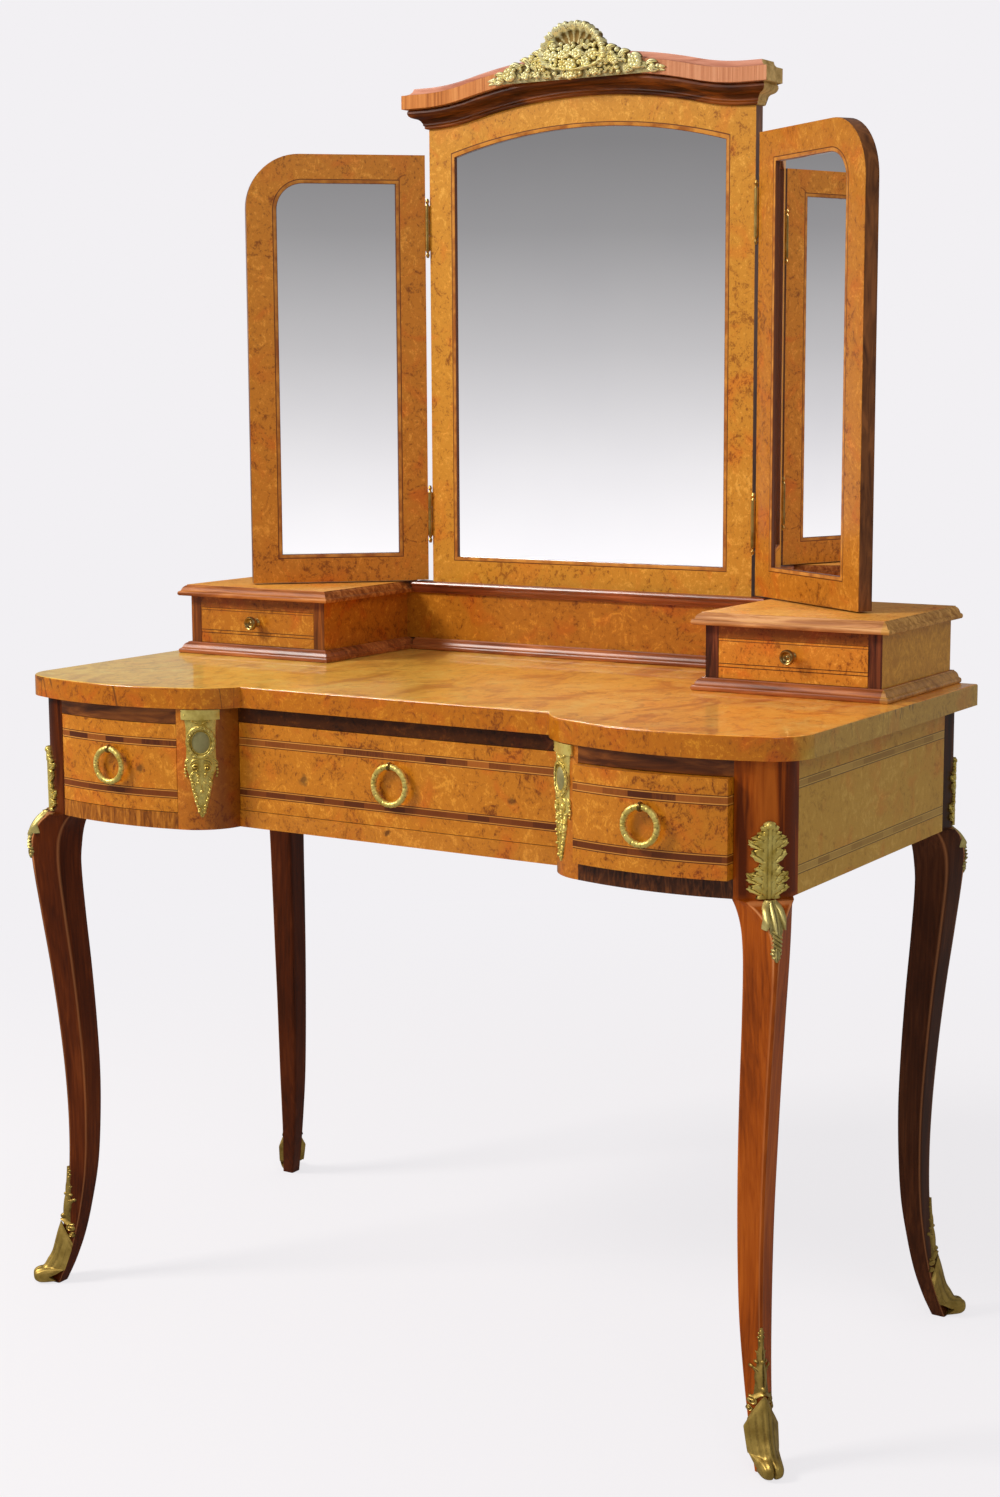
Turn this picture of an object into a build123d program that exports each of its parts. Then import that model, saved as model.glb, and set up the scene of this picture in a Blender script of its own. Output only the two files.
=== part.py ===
from build123d import *
import os
from math import atan2, cos, degrees, radians, sin, sqrt

os.makedirs("parts", exist_ok=True)

# A free-standing dressing table with a triple mirror.  Millimetres, +Z up, the front towards -Y.
# The origin is on the floor, in the middle of the table top's width and depth.

# ---- table: heights
TOP_HEIGHT = 760.0
TOP_THICK = 24.5
APRON_HEIGHT = 141.5
RAIL_HEIGHT = 18.0
LOWER_RAIL_HEIGHT = 19.5

# ---- table: plan
TOP_HALF = 512.5
SIDE_OVERHANG = 21.0
BACK = 254.0
POST_FRONT = -232.0
CENTRE_FRONT = -182.0
BOW = 11.5
OVERHANG = 8.0
TOP_EDGE_ROUND = 2.0
TOP_CORNER_ACROSS = 32.0
TOP_CORNER_DEEP = 43.0
POST_WIDTH = 45.5
FRONT_POST_DEPTH = 53.5
BACK_POST_DEPTH = 46.0
FRONT_POST_RADIUS = 43.0
BACK_POST_RADIUS = 20.0
STILE_INNER = 218.0
STILE_TURN = 262.0
STILE_WIDTH = 50.2
STILE_BACK = -150.0
NOTCH_OVERHANG = 11.0
RAIL_BACK = -172.0
CENTRE_RAIL_DEPTH = 52.0
PANEL_THICK = 12.0
PARTITION_THICK = 16.0
PARTITION_INNER = 236.0
RUNNER_THICK = 10.0
RUNNER_LAP = 14.0
GUIDE_HEIGHT = 26.0

# ---- drawers of the table
FRONT_GAP = 0.7
RUN_GAP = 0.3
FRONT_BACK = -206.0
CENTRE_FRONT_THICK = 22.0
DRAWER_BACK_GAP = 28.0
DRAWER_LENGTH = BACK - PANEL_THICK - DRAWER_BACK_GAP - FRONT_BACK
DRAWER_SIDE = 9.0
DRAWER_SIDE_HEIGHT = 88.0
DRAWER_BASE = 6.0
BASE_RISE = 4.0
RIGHT_DRAWER_PROUD = 12.0

# ---- ring pulls
SIDE_RING_RADIUS = 19.5
CENTRE_RING_RADIUS = 21.5
RING_TUBE = 2.75
EYE_WALL = 1.9
EYE_HALF = 1.6
EYE_CLEAR = 0.5
EYE_STAND = 7.5
EYE_STEM = 2.2
PULL_DROP = 33.5

# ---- cabriole legs: height as a percentage of the leg, then outer ridge, inner ridge (both from
# the sharp corner of the post, outwards along the diagonal), half width, half of the blunt ridge
CABRIOLE = [
    (0.0, 4.5, -18.5, 12.0, 1.5),
    (4.2, -3.0, -30.5, 13.0, 1.5),
    (10.0, -12.5, -43.0, 14.5, 1.5),
    (17.0, -20.0, -53.0, 16.5, 1.5),
    (25.0, -24.5, -61.5, 18.7, 1.5),
    (34.5, -25.5, -65.8, 20.2, 1.5),
    (44.5, -23.3, -67.3, 21.4, 1.5),
    (55.5, -18.0, -65.3, 22.7, 1.5),
    (67.5, -10.0, -61.2, 23.7, 1.5),
    (79.0, -0.5, -56.0, 24.6, 1.6),
    (89.2, 7.5, -52.8, 26.0, 2.0),
    (94.0, 8.8, -55.2, 27.3, 4.5),
    (96.6, 4.5, -58.0, 28.8, 9.0),
    (98.6, -3.0, -62.0, 30.8, 17.0),
    (100.0, -12.0, -66.0, 33.0, 25.0),
]
CABRIOLE_STEPS = 30

# ---- gilt mounts
LEAF_BASE = 2.0
LEAF_HEIGHT = 79.0
LEAF_HALF = 23.0
LEAF_THICK = 3.5
HUSK_RISE = 1.5
HUSK_HEIGHT = 58.5
HUSK_THICK = 4.0
HUSK_BEDDING = 6.0
HUSK_HALF = 9.5
HUSK_TAPER = 0.35
PLAQUE_DROP = 1.0
PLAQUE_HEIGHT = 125.0
PLAQUE_HALF = 22.0
PLAQUE_THICK = 3.0
PLAQUE_TURN = 36.5
SHOE_TOP = 74.0
SHOE_SKIN = 4.0
SHOE_RIDGE = 6.0
SHOE_BLUNT = 2.5
SPEAR_TOP = 146.0
SPEAR_BEDDING = 6.0
SPEAR_TIP = 1.5
TOE_REACH = 19.0
TOE_RADIUS = 9.0
TOE_LENGTH = 36.0
TOE_HALF = 13.0

# ---- gallery of two small drawer boxes and a back panel
BOX_SET_IN = 32.5
BOX_WIDTH = 213.0
BOX_HEIGHT = 60.0
BOX_FRONT = 52.5
BOX_BACK = 250.0
PLINTH_HEIGHT = 14.5
PLINTH_LIP = 12.8
SLAB_THICK = 14.0
SLAB_SLOPE = 6.0
MOULDING_COVE = 5.5
BOX_WALL = 16.0
BOX_RAIL = 14.5
SMALL_GAP = 0.5
SMALL_FRONT = 12.0
SMALL_SIDE = 7.0
SMALL_LENGTH = 180.0
SMALL_SIDE_HEIGHT = 36.0
KNOB_RISE = 29.5
KNOB_RADIUS = 8.8
KNOB_REACH = 16.0
PANEL_FRONT = 236.0
MOULDING_FRONT = 225.0
GALLERY_PANEL_THICK = 14.0

# ---- triple mirror
MIRROR_HALF = 229.8
MIRROR_FRONT = 242.0
MIRROR_THICK = 18.0
MIRROR_STILE = 38.8
MIRROR_RAIL = 34.0
SIGHT_HEIGHT = 503.5
SIGHT_RISE = 26.0
MIRROR_HEAD = 37.0
ARCH_RISE = 26.0
ARCH_HALF = 225.0
ARCH_TURN = 160.0
GLASS_RECESS = 3.0
GLASS_THICK = 4.0
REBATE = 6.0
REBATE_CLEAR = 0.5
BOARD_THICK = 7.0
FASCIA_RISE = 24.0
FASCIA_HEIGHT = 17.0
FASCIA_REACH = 25.0
CAP_THICK = 8.5
CAP_SET_BACK = 12.0
OGEE_STEPS = [(0.17, 0.2), (0.37, 0.36), (0.67, 0.52), (1.0, 0.8)]
CREST_HALF = 124.0
CREST_DROP = 6.0
CREST_TIP = 10.0
CREST_SPRAY = 30.0
CREST_SHOULDER = 38.0
CREST_HEIGHT = 67.0
CREST_SPRAY_HALF = 77.0
CREST_SHELL_HALF = 51.0
CREST_SAG = 2.0
CREST_THICK = 12.0
CREST_BEVEL = 4.2
BATTEN_WIDTH = 30.0
BATTEN_DROP = 26.0
BATTEN_REACH = 161.5
BATTEN_THICK = 18.0
LOW_SCREW_RISE = 56.0
HIGH_SCREW_DROP = 30.5
SCREW_SPACING = 62.0
FRAME_SCREW_RISE = 17.5
SCREW_LENGTH = 26.0
SCREW_RADIUS = 2.0
SCREW_HEAD = 4.2

# ---- wings and their hinges
HINGE_GAP = 2.5
HINGE_FORWARD = 1.5
WING_WIDTH = 228.5
WING_LIFT = 2.0
WING_HEIGHT = 541.0
WING_CORNER = 68.0
WING_STILE = 38.5
WING_RAIL = 36.5
WING_SIGHT_CORNER = 33.5
LEFT_WING_ANGLE = 43.0
RIGHT_WING_ANGLE = 34.0
LOWER_HINGE_RISE = 85.5
UPPER_HINGE_RISE = 449.5
KNUCKLE_LENGTH = 56.0
KNUCKLE_RADIUS = 2.8
PIN_RADIUS = 1.3
PIN_CLEAR = 0.06
KNUCKLE_CLEAR = 0.3
LEAF_WIDTH = 14.0
LEAF_PLATE = 1.2
FINIAL_LENGTH = 9.0
FINIAL_BALL = 2.6
FINIAL_NECK = 1.4

# ---- what follows from them
APRON_TOP = TOP_HEIGHT - TOP_THICK
APRON_BOTTOM = APRON_TOP - APRON_HEIGHT
DRAWER_FLOOR = APRON_BOTTOM + LOWER_RAIL_HEIGHT
DRAWER_CEILING = APRON_TOP - RAIL_HEIGHT
PULL_HEIGHT = DRAWER_CEILING - PULL_DROP
SIDE_HALF = TOP_HALF - SIDE_OVERHANG
POST_INNER = SIDE_HALF - POST_WIDTH
STILE_OUTER = STILE_INNER + STILE_WIDTH
TOP_NOTCH = STILE_INNER - NOTCH_OVERHANG
TOP_TURN = STILE_TURN - OVERHANG
HUSK_TOP = APRON_BOTTOM + HUSK_RISE
HUSK_BOTTOM = HUSK_TOP - HUSK_HEIGHT
PLAQUE_TOP = APRON_TOP - PLAQUE_DROP
EYE_HOLE = RING_TUBE + EYE_CLEAR
EYE_OUTER = EYE_HOLE + EYE_WALL
BOX_OUTER = TOP_HALF - BOX_SET_IN
BOX_INNER = BOX_OUTER - BOX_WIDTH
BOX_FLOOR = TOP_HEIGHT + PLINTH_HEIGHT
BOX_TOP = BOX_FLOOR + BOX_HEIGHT
KNOB_HEIGHT = BOX_FLOOR + KNOB_RISE
GALLERY_HEIGHT = BOX_TOP + SLAB_THICK
SIGHT_HALF = MIRROR_HALF - MIRROR_STILE
SIGHT_BOTTOM = GALLERY_HEIGHT + MIRROR_RAIL
SIGHT_CORNER = SIGHT_BOTTOM + SIGHT_HEIGHT
SHOULDER = SIGHT_CORNER + MIRROR_HEAD
FASCIA_BASE = SHOULDER + FASCIA_RISE
WING_BOTTOM = GALLERY_HEIGHT + WING_LIFT
WING_TOP = WING_BOTTOM + WING_HEIGHT
HINGE_X = MIRROR_HALF + HINGE_GAP
HINGE_Y = MIRROR_FRONT - HINGE_FORWARD
HINGE_LEVELS = (WING_BOTTOM + LOWER_HINGE_RISE, WING_BOTTOM + UPPER_HINGE_RISE)
BATTEN_BOTTOM = APRON_BOTTOM + BATTEN_DROP
BATTEN_TOP = GALLERY_HEIGHT + BATTEN_REACH
FRAME_SCREWS = [GALLERY_HEIGHT + FRAME_SCREW_RISE + step * SCREW_SPACING for step in range(3)]
SCREW_LEVELS = [APRON_BOTTOM + LOW_SCREW_RISE, APRON_TOP - HIGH_SCREW_DROP] + FRAME_SCREWS
DIAGONAL = sqrt(0.5)


def save(piece, name):
    """Label a finished piece and write its STEP file."""
    piece.label = name
    export_step(piece, f"parts/{name}.step")


# ============================================================ plan of the serpentine front


def pedestal_plan(side, inner, outer, back, forward=0.0):
    """Plan of a piece that follows one pedestal's bowed front between two widths."""
    middle = (STILE_TURN + POST_INNER) / 2
    front = POST_FRONT - forward
    with BuildSketch() as plan:
        with BuildLine():
            bow = ThreePointArc(
                (side * POST_INNER, front), (side * middle, front - BOW), (side * STILE_TURN, front)
            )
            turn = TangentArc(bow @ 1, (side * STILE_INNER, CENTRE_FRONT - forward), tangent=bow % 1)
            Polyline(
                turn @ 1, (side * STILE_INNER, STILE_BACK), (side * POST_INNER, STILE_BACK), bow @ 0
            )
        make_face()
        with Locations((side * (inner + outer) / 2, (back + front) / 2 - BOW)):
            Rectangle(outer - inner, back - front + 2 * BOW, mode=Mode.INTERSECT)
    return plan.sketch


def top_plan():
    """Plan of the table top: recessed centre, bowed pedestals, rounded front corners."""
    front = CENTRE_FRONT - OVERHANG
    with BuildSketch() as plan:
        with BuildLine():
            ends = []
            for side in (-1, 1):
                bow_end = TOP_HALF - TOP_CORNER_ACROSS
                bow = ThreePointArc(
                    (side * TOP_TURN, POST_FRONT),
                    (side * (TOP_TURN + bow_end) / 2, POST_FRONT - BOW - OVERHANG),
                    (side * bow_end, POST_FRONT),
                )
                turn = TangentArc(bow @ 0, (side * TOP_NOTCH, front), tangent=(bow % 0) * -1)
                corner = TangentArc(
                    bow @ 1, (side * TOP_HALF, POST_FRONT + TOP_CORNER_DEEP), tangent=bow % 1
                )
                Line(corner @ 1, (side * TOP_HALF, BACK))
                ends.append(turn @ 1)
            Line(ends[0], ends[1])
            Line((-TOP_HALF, BACK), (TOP_HALF, BACK))
        make_face()
    return plan.sketch


with BuildPart() as table_top:
    with BuildSketch(Plane.XY.offset(APRON_TOP)):
        add(top_plan())
    extrude(amount=TOP_THICK)
    fillet(table_top.faces().sort_by(Axis.Z)[-1].edges(), radius=TOP_EDGE_ROUND)
save(table_top.part, "table_top")


# ============================================================ legs and what is mounted on them


def corner_plane(side, end):
    """Plane at the sharp corner of a post, its x axis running outwards along the diagonal."""
    y = POST_FRONT if end < 0 else BACK
    return Plane(
        origin=(side * SIDE_HALF, y, 0), x_dir=(side * DIAGONAL, end * DIAGONAL, 0), z_dir=(0, 0, 1)
    )


def post_plan(side, end, grow=0.0):
    """Plan of a corner post with its outer corner rounded, grown outwards by an amount."""
    depth = FRONT_POST_DEPTH if end < 0 else BACK_POST_DEPTH
    radius = (FRONT_POST_RADIUS if end < 0 else BACK_POST_RADIUS) + grow
    y_out = (POST_FRONT if end < 0 else BACK) + end * grow
    y_in = (POST_FRONT if end < 0 else BACK) - end * depth
    x_out = side * (SIDE_HALF + grow)
    bend = radius * (1 - DIAGONAL)
    with BuildSketch() as plan:
        with BuildLine():
            Polyline(
                (x_out, y_out - end * radius),
                (x_out, y_in),
                (side * POST_INNER, y_in),
                (side * POST_INNER, y_out),
                (x_out - side * radius, y_out),
            )
            ThreePointArc(
                (x_out - side * radius, y_out),
                (x_out - side * bend, y_out - end * bend),
                (x_out, y_out - end * radius),
            )
        make_face()
    return plan.sketch


def cabriole_at(level):
    """Outer ridge, inner ridge, half width and blunt of the leg at a height, on a smooth curve.

    Between two stations each value follows a cubic whose end slopes are those of the chords
    over the neighbouring stations.
    """
    last = len(CABRIOLE) - 1
    percent = 100 * level / APRON_BOTTOM
    index = max(i for i in range(last) if CABRIOLE[i][0] <= percent)
    before, low, high, after = (CABRIOLE[min(max(index + k, 0), last)] for k in (-1, 0, 1, 2))
    step = high[0] - low[0]
    t = (percent - low[0]) / step
    values = []
    for value_before, value_low, value_high, value_after in zip(before[1:], low[1:], high[1:], after[1:]):
        slope_low = step * (value_high - value_before) / (high[0] - before[0])
        slope_high = step * (value_after - value_low) / (after[0] - low[0])
        values.append(
            value_low * (1 + 2 * t) * (1 - t) ** 2
            + slope_low * t * (1 - t) ** 2
            + value_high * t * t * (3 - 2 * t)
            - slope_high * t * t * (1 - t)
        )
    return values


def make_leg(side, end):
    """A post and its cabriole leg: a square section set cornerwise that swings out and in."""
    place = corner_plane(side, end)
    with BuildPart() as leg:
        for step in range(CABRIOLE_STEPS + 1):
            level = APRON_BOTTOM * step / CABRIOLE_STEPS
            outer, inner, half, blunt = cabriole_at(level)
            with BuildSketch(place.offset(level)):
                with BuildLine():
                    middle = (outer + inner) / 2
                    Polyline(
                        (inner, 0),
                        (middle, half),
                        (outer, blunt),
                        (outer, -blunt),
                        (middle, -half),
                        (inner, 0),
                    )
                make_face()
        loft(ruled=True)
        with BuildSketch(Plane.XY.offset(APRON_BOTTOM)):
            add(post_plan(side, end))
        extrude(amount=APRON_TOP - APRON_BOTTOM)
    return leg.part


def make_leaf_mount(side, end):
    """An acanthus leaf wrapped round the corner of a post, standing on the knee."""
    place = corner_plane(side, end)
    front = Plane(origin=place.origin, x_dir=place.y_dir, z_dir=place.x_dir)
    base = APRON_BOTTOM + LEAF_BASE
    with BuildPart() as leaf:
        with BuildSketch(Plane.XY.offset(base)):
            add(post_plan(side, end, LEAF_THICK))
            add(post_plan(side, end), mode=Mode.SUBTRACT)
        extrude(amount=LEAF_HEIGHT)
        with BuildSketch(front):
            with BuildLine():
                right = Polyline(
                    (0, base),
                    (0.55 * LEAF_HALF, base),
                    (LEAF_HALF, base + 0.10 * LEAF_HEIGHT),
                    (LEAF_HALF, base + 0.33 * LEAF_HEIGHT),
                    (0.62 * LEAF_HALF, base + 0.40 * LEAF_HEIGHT),
                    (0.90 * LEAF_HALF, base + 0.62 * LEAF_HEIGHT),
                    (0.80 * LEAF_HALF, base + 0.78 * LEAF_HEIGHT),
                    (0.42 * LEAF_HALF, base + 0.82 * LEAF_HEIGHT),
                    (0.22 * LEAF_HALF, base + LEAF_HEIGHT),
                    (0, base + LEAF_HEIGHT),
                )
                mirror(right, about=Plane.YZ)
            make_face()
        extrude(amount=2 * POST_WIDTH, both=True, mode=Mode.INTERSECT)
    return leaf.part


def make_husk(side, end, leg):
    """A husk pendant that runs down the ridge of the knee."""
    place = corner_plane(side, end)
    steps = 6
    with BuildPart() as husk:
        for step in range(steps + 1):
            level = HUSK_BOTTOM + step * (HUSK_TOP - HUSK_BOTTOM) / steps
            outer = cabriole_at(level)[0]
            half = HUSK_HALF * (HUSK_TAPER + (1.0 - HUSK_TAPER) * min(1.0, step / (steps - 2)))
            with BuildSketch(place.offset(level)):
                with Locations((outer + (HUSK_THICK - HUSK_BEDDING) / 2, 0)):
                    Rectangle(HUSK_THICK + HUSK_BEDDING, 2 * half)
        loft(ruled=True)
        add(leg, mode=Mode.SUBTRACT)
    return husk.solids().sort_by(SortBy.VOLUME)[-1]


def make_sabot(side, end, leg):
    """A gilt shoe round the outer half of the foot, with a curled toe and a leaf spear above."""
    place = corner_plane(side, end)
    levels = [0.0, 0.35 * SHOE_TOP, 0.75 * SHOE_TOP, SHOE_TOP]
    with BuildPart() as sabot:
        for level in levels:
            outer, inner, half, blunt = cabriole_at(level)
            middle = (outer + inner) / 2
            with BuildSketch(place.offset(level)):
                with BuildLine():
                    Polyline(
                        (middle, half + SHOE_SKIN),
                        (outer + SHOE_RIDGE, blunt + SHOE_BLUNT),
                        (outer + SHOE_RIDGE, -blunt - SHOE_BLUNT),
                        (middle, -half - SHOE_SKIN),
                        (middle, half + SHOE_SKIN),
                    )
                make_face()
        loft(ruled=True)
        toe_x = cabriole_at(0.0)[0] + TOE_REACH - TOE_RADIUS
        with BuildSketch(Plane(origin=place.origin, x_dir=place.x_dir, z_dir=-place.y_dir)):
            with Locations((toe_x, TOE_RADIUS)):
                Circle(TOE_RADIUS)
            with Locations((toe_x - TOE_LENGTH / 2, TOE_RADIUS)):
                Rectangle(TOE_LENGTH, 2 * TOE_RADIUS)
            with BuildLine():
                spear_low = cabriole_at(SHOE_TOP)[0]
                spear_high = cabriole_at(SPEAR_TOP)[0]
                spear_middle = (SHOE_TOP + SPEAR_TOP) / 2
                Polyline(
                    (spear_low - SPEAR_BEDDING, SHOE_TOP - SHOE_SKIN),
                    (spear_low + SHOE_RIDGE, SHOE_TOP - SHOE_SKIN),
                    (cabriole_at(spear_middle)[0] + SHOE_SKIN, spear_middle),
                    (spear_high + SPEAR_TIP, SPEAR_TOP),
                    (spear_high - SPEAR_BEDDING, SPEAR_TOP),
                    (spear_low - SPEAR_BEDDING, SHOE_TOP - SHOE_SKIN),
                )
            make_face()
        extrude(amount=TOE_HALF, both=True)
        add(leg, mode=Mode.SUBTRACT)
    return sabot.solids().sort_by(SortBy.VOLUME)[-1]


LEG_NAMES = {
    (-1, -1): "front_left_leg",
    (1, -1): "front_right_leg",
    (-1, 1): "back_left_leg",
    (1, 1): "back_right_leg",
}

leaves = []
husks = []
sabots = []
for (side, end), name in LEG_NAMES.items():
    leg = make_leg(side, end)
    save(leg, name)
    leaves += make_leaf_mount(side, end).solids()
    husks.append(make_husk(side, end, leg))
    sabots.append(make_sabot(side, end, leg))

save(Compound(children=leaves), "acanthus_mounts")
save(Compound(children=husks), "knee_husks")
save(Compound(children=sabots), "sabots")


# ============================================================ screws that hold the mirror's battens

BATTEN_CENTRES = [side * (SIGHT_HALF + REBATE + MIRROR_HALF) / 2 for side in (-1, 1)]
screws = []
for x in BATTEN_CENTRES:
    for level in SCREW_LEVELS:
        with BuildPart() as screw:
            with BuildSketch(Plane(origin=(x, BACK + BATTEN_THICK, level), x_dir=(1, 0, 0), z_dir=(0, 0, 1))):
                with BuildLine():
                    Polyline(
                        (0, 0),
                        (SCREW_HEAD, 0),
                        (SCREW_RADIUS, SCREW_RADIUS - SCREW_HEAD),
                        (SCREW_RADIUS, SCREW_RADIUS - SCREW_LENGTH),
                        (0, -SCREW_LENGTH),
                        (0, 0),
                    )
                make_face()
            revolve(axis=Axis((x, 0, level), (0, 1, 0)))
        screws.append(screw.part)


# ============================================================ carcass of the table

for side, name in ((-1, "left_side_panel"), (1, "right_side_panel")):
    with BuildPart() as side_panel:
        length = (BACK - BACK_POST_DEPTH) - (POST_FRONT + FRONT_POST_DEPTH)
        centre = ((BACK - BACK_POST_DEPTH) + (POST_FRONT + FRONT_POST_DEPTH)) / 2
        with BuildSketch(Plane.XY.offset(APRON_BOTTOM)):
            with Locations((side * (SIDE_HALF - PANEL_THICK / 2), centre)):
                Rectangle(PANEL_THICK, length)
        extrude(amount=APRON_TOP - APRON_BOTTOM)
    save(side_panel.part, name)

with BuildPart() as back_panel:
    with BuildSketch(Plane.XY.offset(APRON_BOTTOM)):
        with Locations((0, BACK - PANEL_THICK / 2)):
            Rectangle(2 * POST_INNER, PANEL_THICK)
    extrude(amount=APRON_TOP - APRON_BOTTOM)
    add(screws, mode=Mode.SUBTRACT)
save(back_panel.part, "back_panel")

with BuildPart() as pedestal_rails:
    for side in (-1, 1):
        with BuildSketch(Plane.XY.offset(DRAWER_CEILING)):
            add(pedestal_plan(side, STILE_OUTER, POST_INNER, RAIL_BACK))
        extrude(amount=RAIL_HEIGHT)
        with BuildSketch(Plane.XY.offset(APRON_BOTTOM)):
            add(pedestal_plan(side, STILE_OUTER, POST_INNER, RAIL_BACK))
        extrude(amount=LOWER_RAIL_HEIGHT)
save(pedestal_rails.part, "pedestal_rails")

for name, level, height in (
    ("centre_top_rail", DRAWER_CEILING, RAIL_HEIGHT),
    ("centre_lower_rail", APRON_BOTTOM, LOWER_RAIL_HEIGHT),
):
    with BuildPart() as centre_rail:
        with BuildSketch(Plane.XY.offset(level)):
            with Locations((0, CENTRE_FRONT + CENTRE_RAIL_DEPTH / 2)):
                Rectangle(2 * STILE_INNER, CENTRE_RAIL_DEPTH)
        extrude(amount=height)
    save(centre_rail.part, name)

for side, name in ((-1, "left_stile"), (1, "right_stile")):
    with BuildPart() as stile:
        with BuildSketch(Plane.XY.offset(APRON_BOTTOM)):
            add(pedestal_plan(side, STILE_INNER, STILE_OUTER, STILE_BACK))
        extrude(amount=APRON_TOP - APRON_BOTTOM)
    save(stile.part, name)

with BuildPart() as partitions:
    length = BACK - PANEL_THICK - STILE_BACK
    with BuildSketch(Plane.XY.offset(APRON_BOTTOM)):
        for side in (-1, 1):
            with Locations((side * (PARTITION_INNER + PARTITION_THICK / 2), STILE_BACK + length / 2)):
                Rectangle(PARTITION_THICK, length)
    extrude(amount=APRON_TOP - APRON_BOTTOM)
save(partitions.part, "partitions")


def runner(wall, drawer_edge, front, back):
    """A runner with its side guide: an L section fixed to a wall, carrying a drawer's edge."""
    toward = 1 if drawer_edge > wall else -1
    with BuildPart() as strip:
        with BuildSketch(Plane.XZ.offset(-front)):
            with BuildLine():
                Polyline(
                    (wall, DRAWER_FLOOR - RUNNER_THICK),
                    (drawer_edge + toward * RUNNER_LAP, DRAWER_FLOOR - RUNNER_THICK),
                    (drawer_edge + toward * RUNNER_LAP, DRAWER_FLOOR),
                    (drawer_edge - toward * RUN_GAP, DRAWER_FLOOR),
                    (drawer_edge - toward * RUN_GAP, DRAWER_FLOOR + GUIDE_HEIGHT),
                    (wall, DRAWER_FLOOR + GUIDE_HEIGHT),
                    (wall, DRAWER_FLOOR - RUNNER_THICK),
                )
            make_face()
        extrude(amount=-(back - front))
    return strip.part


SIDE_EDGE_IN = STILE_OUTER + FRONT_GAP
SIDE_EDGE_OUT = POST_INNER - FRONT_GAP
CENTRE_EDGE = STILE_INNER - FRONT_GAP
runners = []
for side in (-1, 1):
    inner_wall = side * (PARTITION_INNER + PARTITION_THICK)
    outer_wall = side * (SIDE_HALF - PANEL_THICK)
    panel_face = BACK - PANEL_THICK
    runners.append(runner(inner_wall, side * SIDE_EDGE_IN, STILE_BACK, panel_face))
    runners.append(runner(outer_wall, side * SIDE_EDGE_OUT, RAIL_BACK, BACK - BACK_POST_DEPTH))
    centre_start = max(STILE_BACK, CENTRE_FRONT + CENTRE_RAIL_DEPTH)
    runners.append(runner(side * PARTITION_INNER, side * CENTRE_EDGE, centre_start, panel_face))
save(Compound(children=runners), "drawer_runners")


def stile_turn_centre():
    """Centre of the arc that rounds the stile, worked out from the bow's end slope."""
    half_chord = (POST_INNER - STILE_TURN) / 2
    slope = 2 * atan2(BOW, half_chord)
    dx = STILE_INNER - STILE_TURN
    dy = CENTRE_FRONT - POST_FRONT
    bend = atan2(dy, -dx) - slope
    radius = sqrt(dx * dx + dy * dy) / (2 * sin(bend))
    return STILE_TURN + radius * sin(slope), POST_FRONT + radius * cos(slope), radius


def make_plaque(side):
    """A gilt plaque bent round the stile: a tab, a wreathed oval and a tapering pendant."""
    cx, cy, radius = stile_turn_centre()
    turn = radians(PLAQUE_TURN)
    normal = (-side * sin(turn), -cos(turn), 0)
    across = (cos(turn), -side * sin(turn), 0)
    spot = (side * (cx - radius * sin(turn)), cy - radius * cos(turn), 0)
    face = Plane(origin=spot, x_dir=across, z_dir=normal)
    low = PLAQUE_TOP - PLAQUE_HEIGHT
    with BuildPart() as plaque:
        with BuildSketch(Plane.XY.offset(low)):
            with Locations((side * cx, cy)):
                Circle(radius + PLAQUE_THICK)
                Circle(radius, mode=Mode.SUBTRACT)
        extrude(amount=PLAQUE_HEIGHT)
        with BuildSketch(face):
            with BuildLine():
                right = Polyline(
                    (0, low),
                    (0.10 * PLAQUE_HALF, low),
                    (0.62 * PLAQUE_HALF, low + 0.30 * PLAQUE_HEIGHT),
                    (0.80 * PLAQUE_HALF, low + 0.42 * PLAQUE_HEIGHT),
                    (0.78 * PLAQUE_HALF, low + 0.90 * PLAQUE_HEIGHT),
                    (PLAQUE_HALF, low + 0.92 * PLAQUE_HEIGHT),
                    (PLAQUE_HALF, low + PLAQUE_HEIGHT),
                    (0, low + PLAQUE_HEIGHT),
                )
                mirror(right, about=Plane.YZ)
            make_face()
        extrude(amount=radius / 2, both=True, mode=Mode.INTERSECT)
    return plaque.part


save(Compound(children=[make_plaque(side).solids()[0] for side in (-1, 1)]), "plaques")


# ============================================================ drawers of the table


def drawer_box(x_low, x_high, y_front, level, length, height, side_thick):
    """Two sides, a back and a base as four boards, open at the top."""
    middle = (x_low + x_high) / 2
    width = x_high - x_low
    y_back = y_front + length
    base_width = width - 2 * side_thick
    boards = []
    sizes = [
        (x_low + side_thick / 2, y_front + length / 2, side_thick, length, level, height),
        (x_high - side_thick / 2, y_front + length / 2, side_thick, length, level, height),
        (middle, y_back - side_thick / 2, base_width, side_thick, level + BASE_RISE, height - BASE_RISE),
        (
            middle,
            y_front + (length - side_thick) / 2,
            base_width,
            length - side_thick,
            level + BASE_RISE,
            DRAWER_BASE,
        ),
    ]
    for x, y, w, d, z, h in sizes:
        with BuildPart() as board:
            with BuildSketch(Plane.XY.offset(z)):
                with Locations((x, y)):
                    Rectangle(w, d)
            extrude(amount=h)
        boards.append(board.part)
    return Compound(children=boards)


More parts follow.
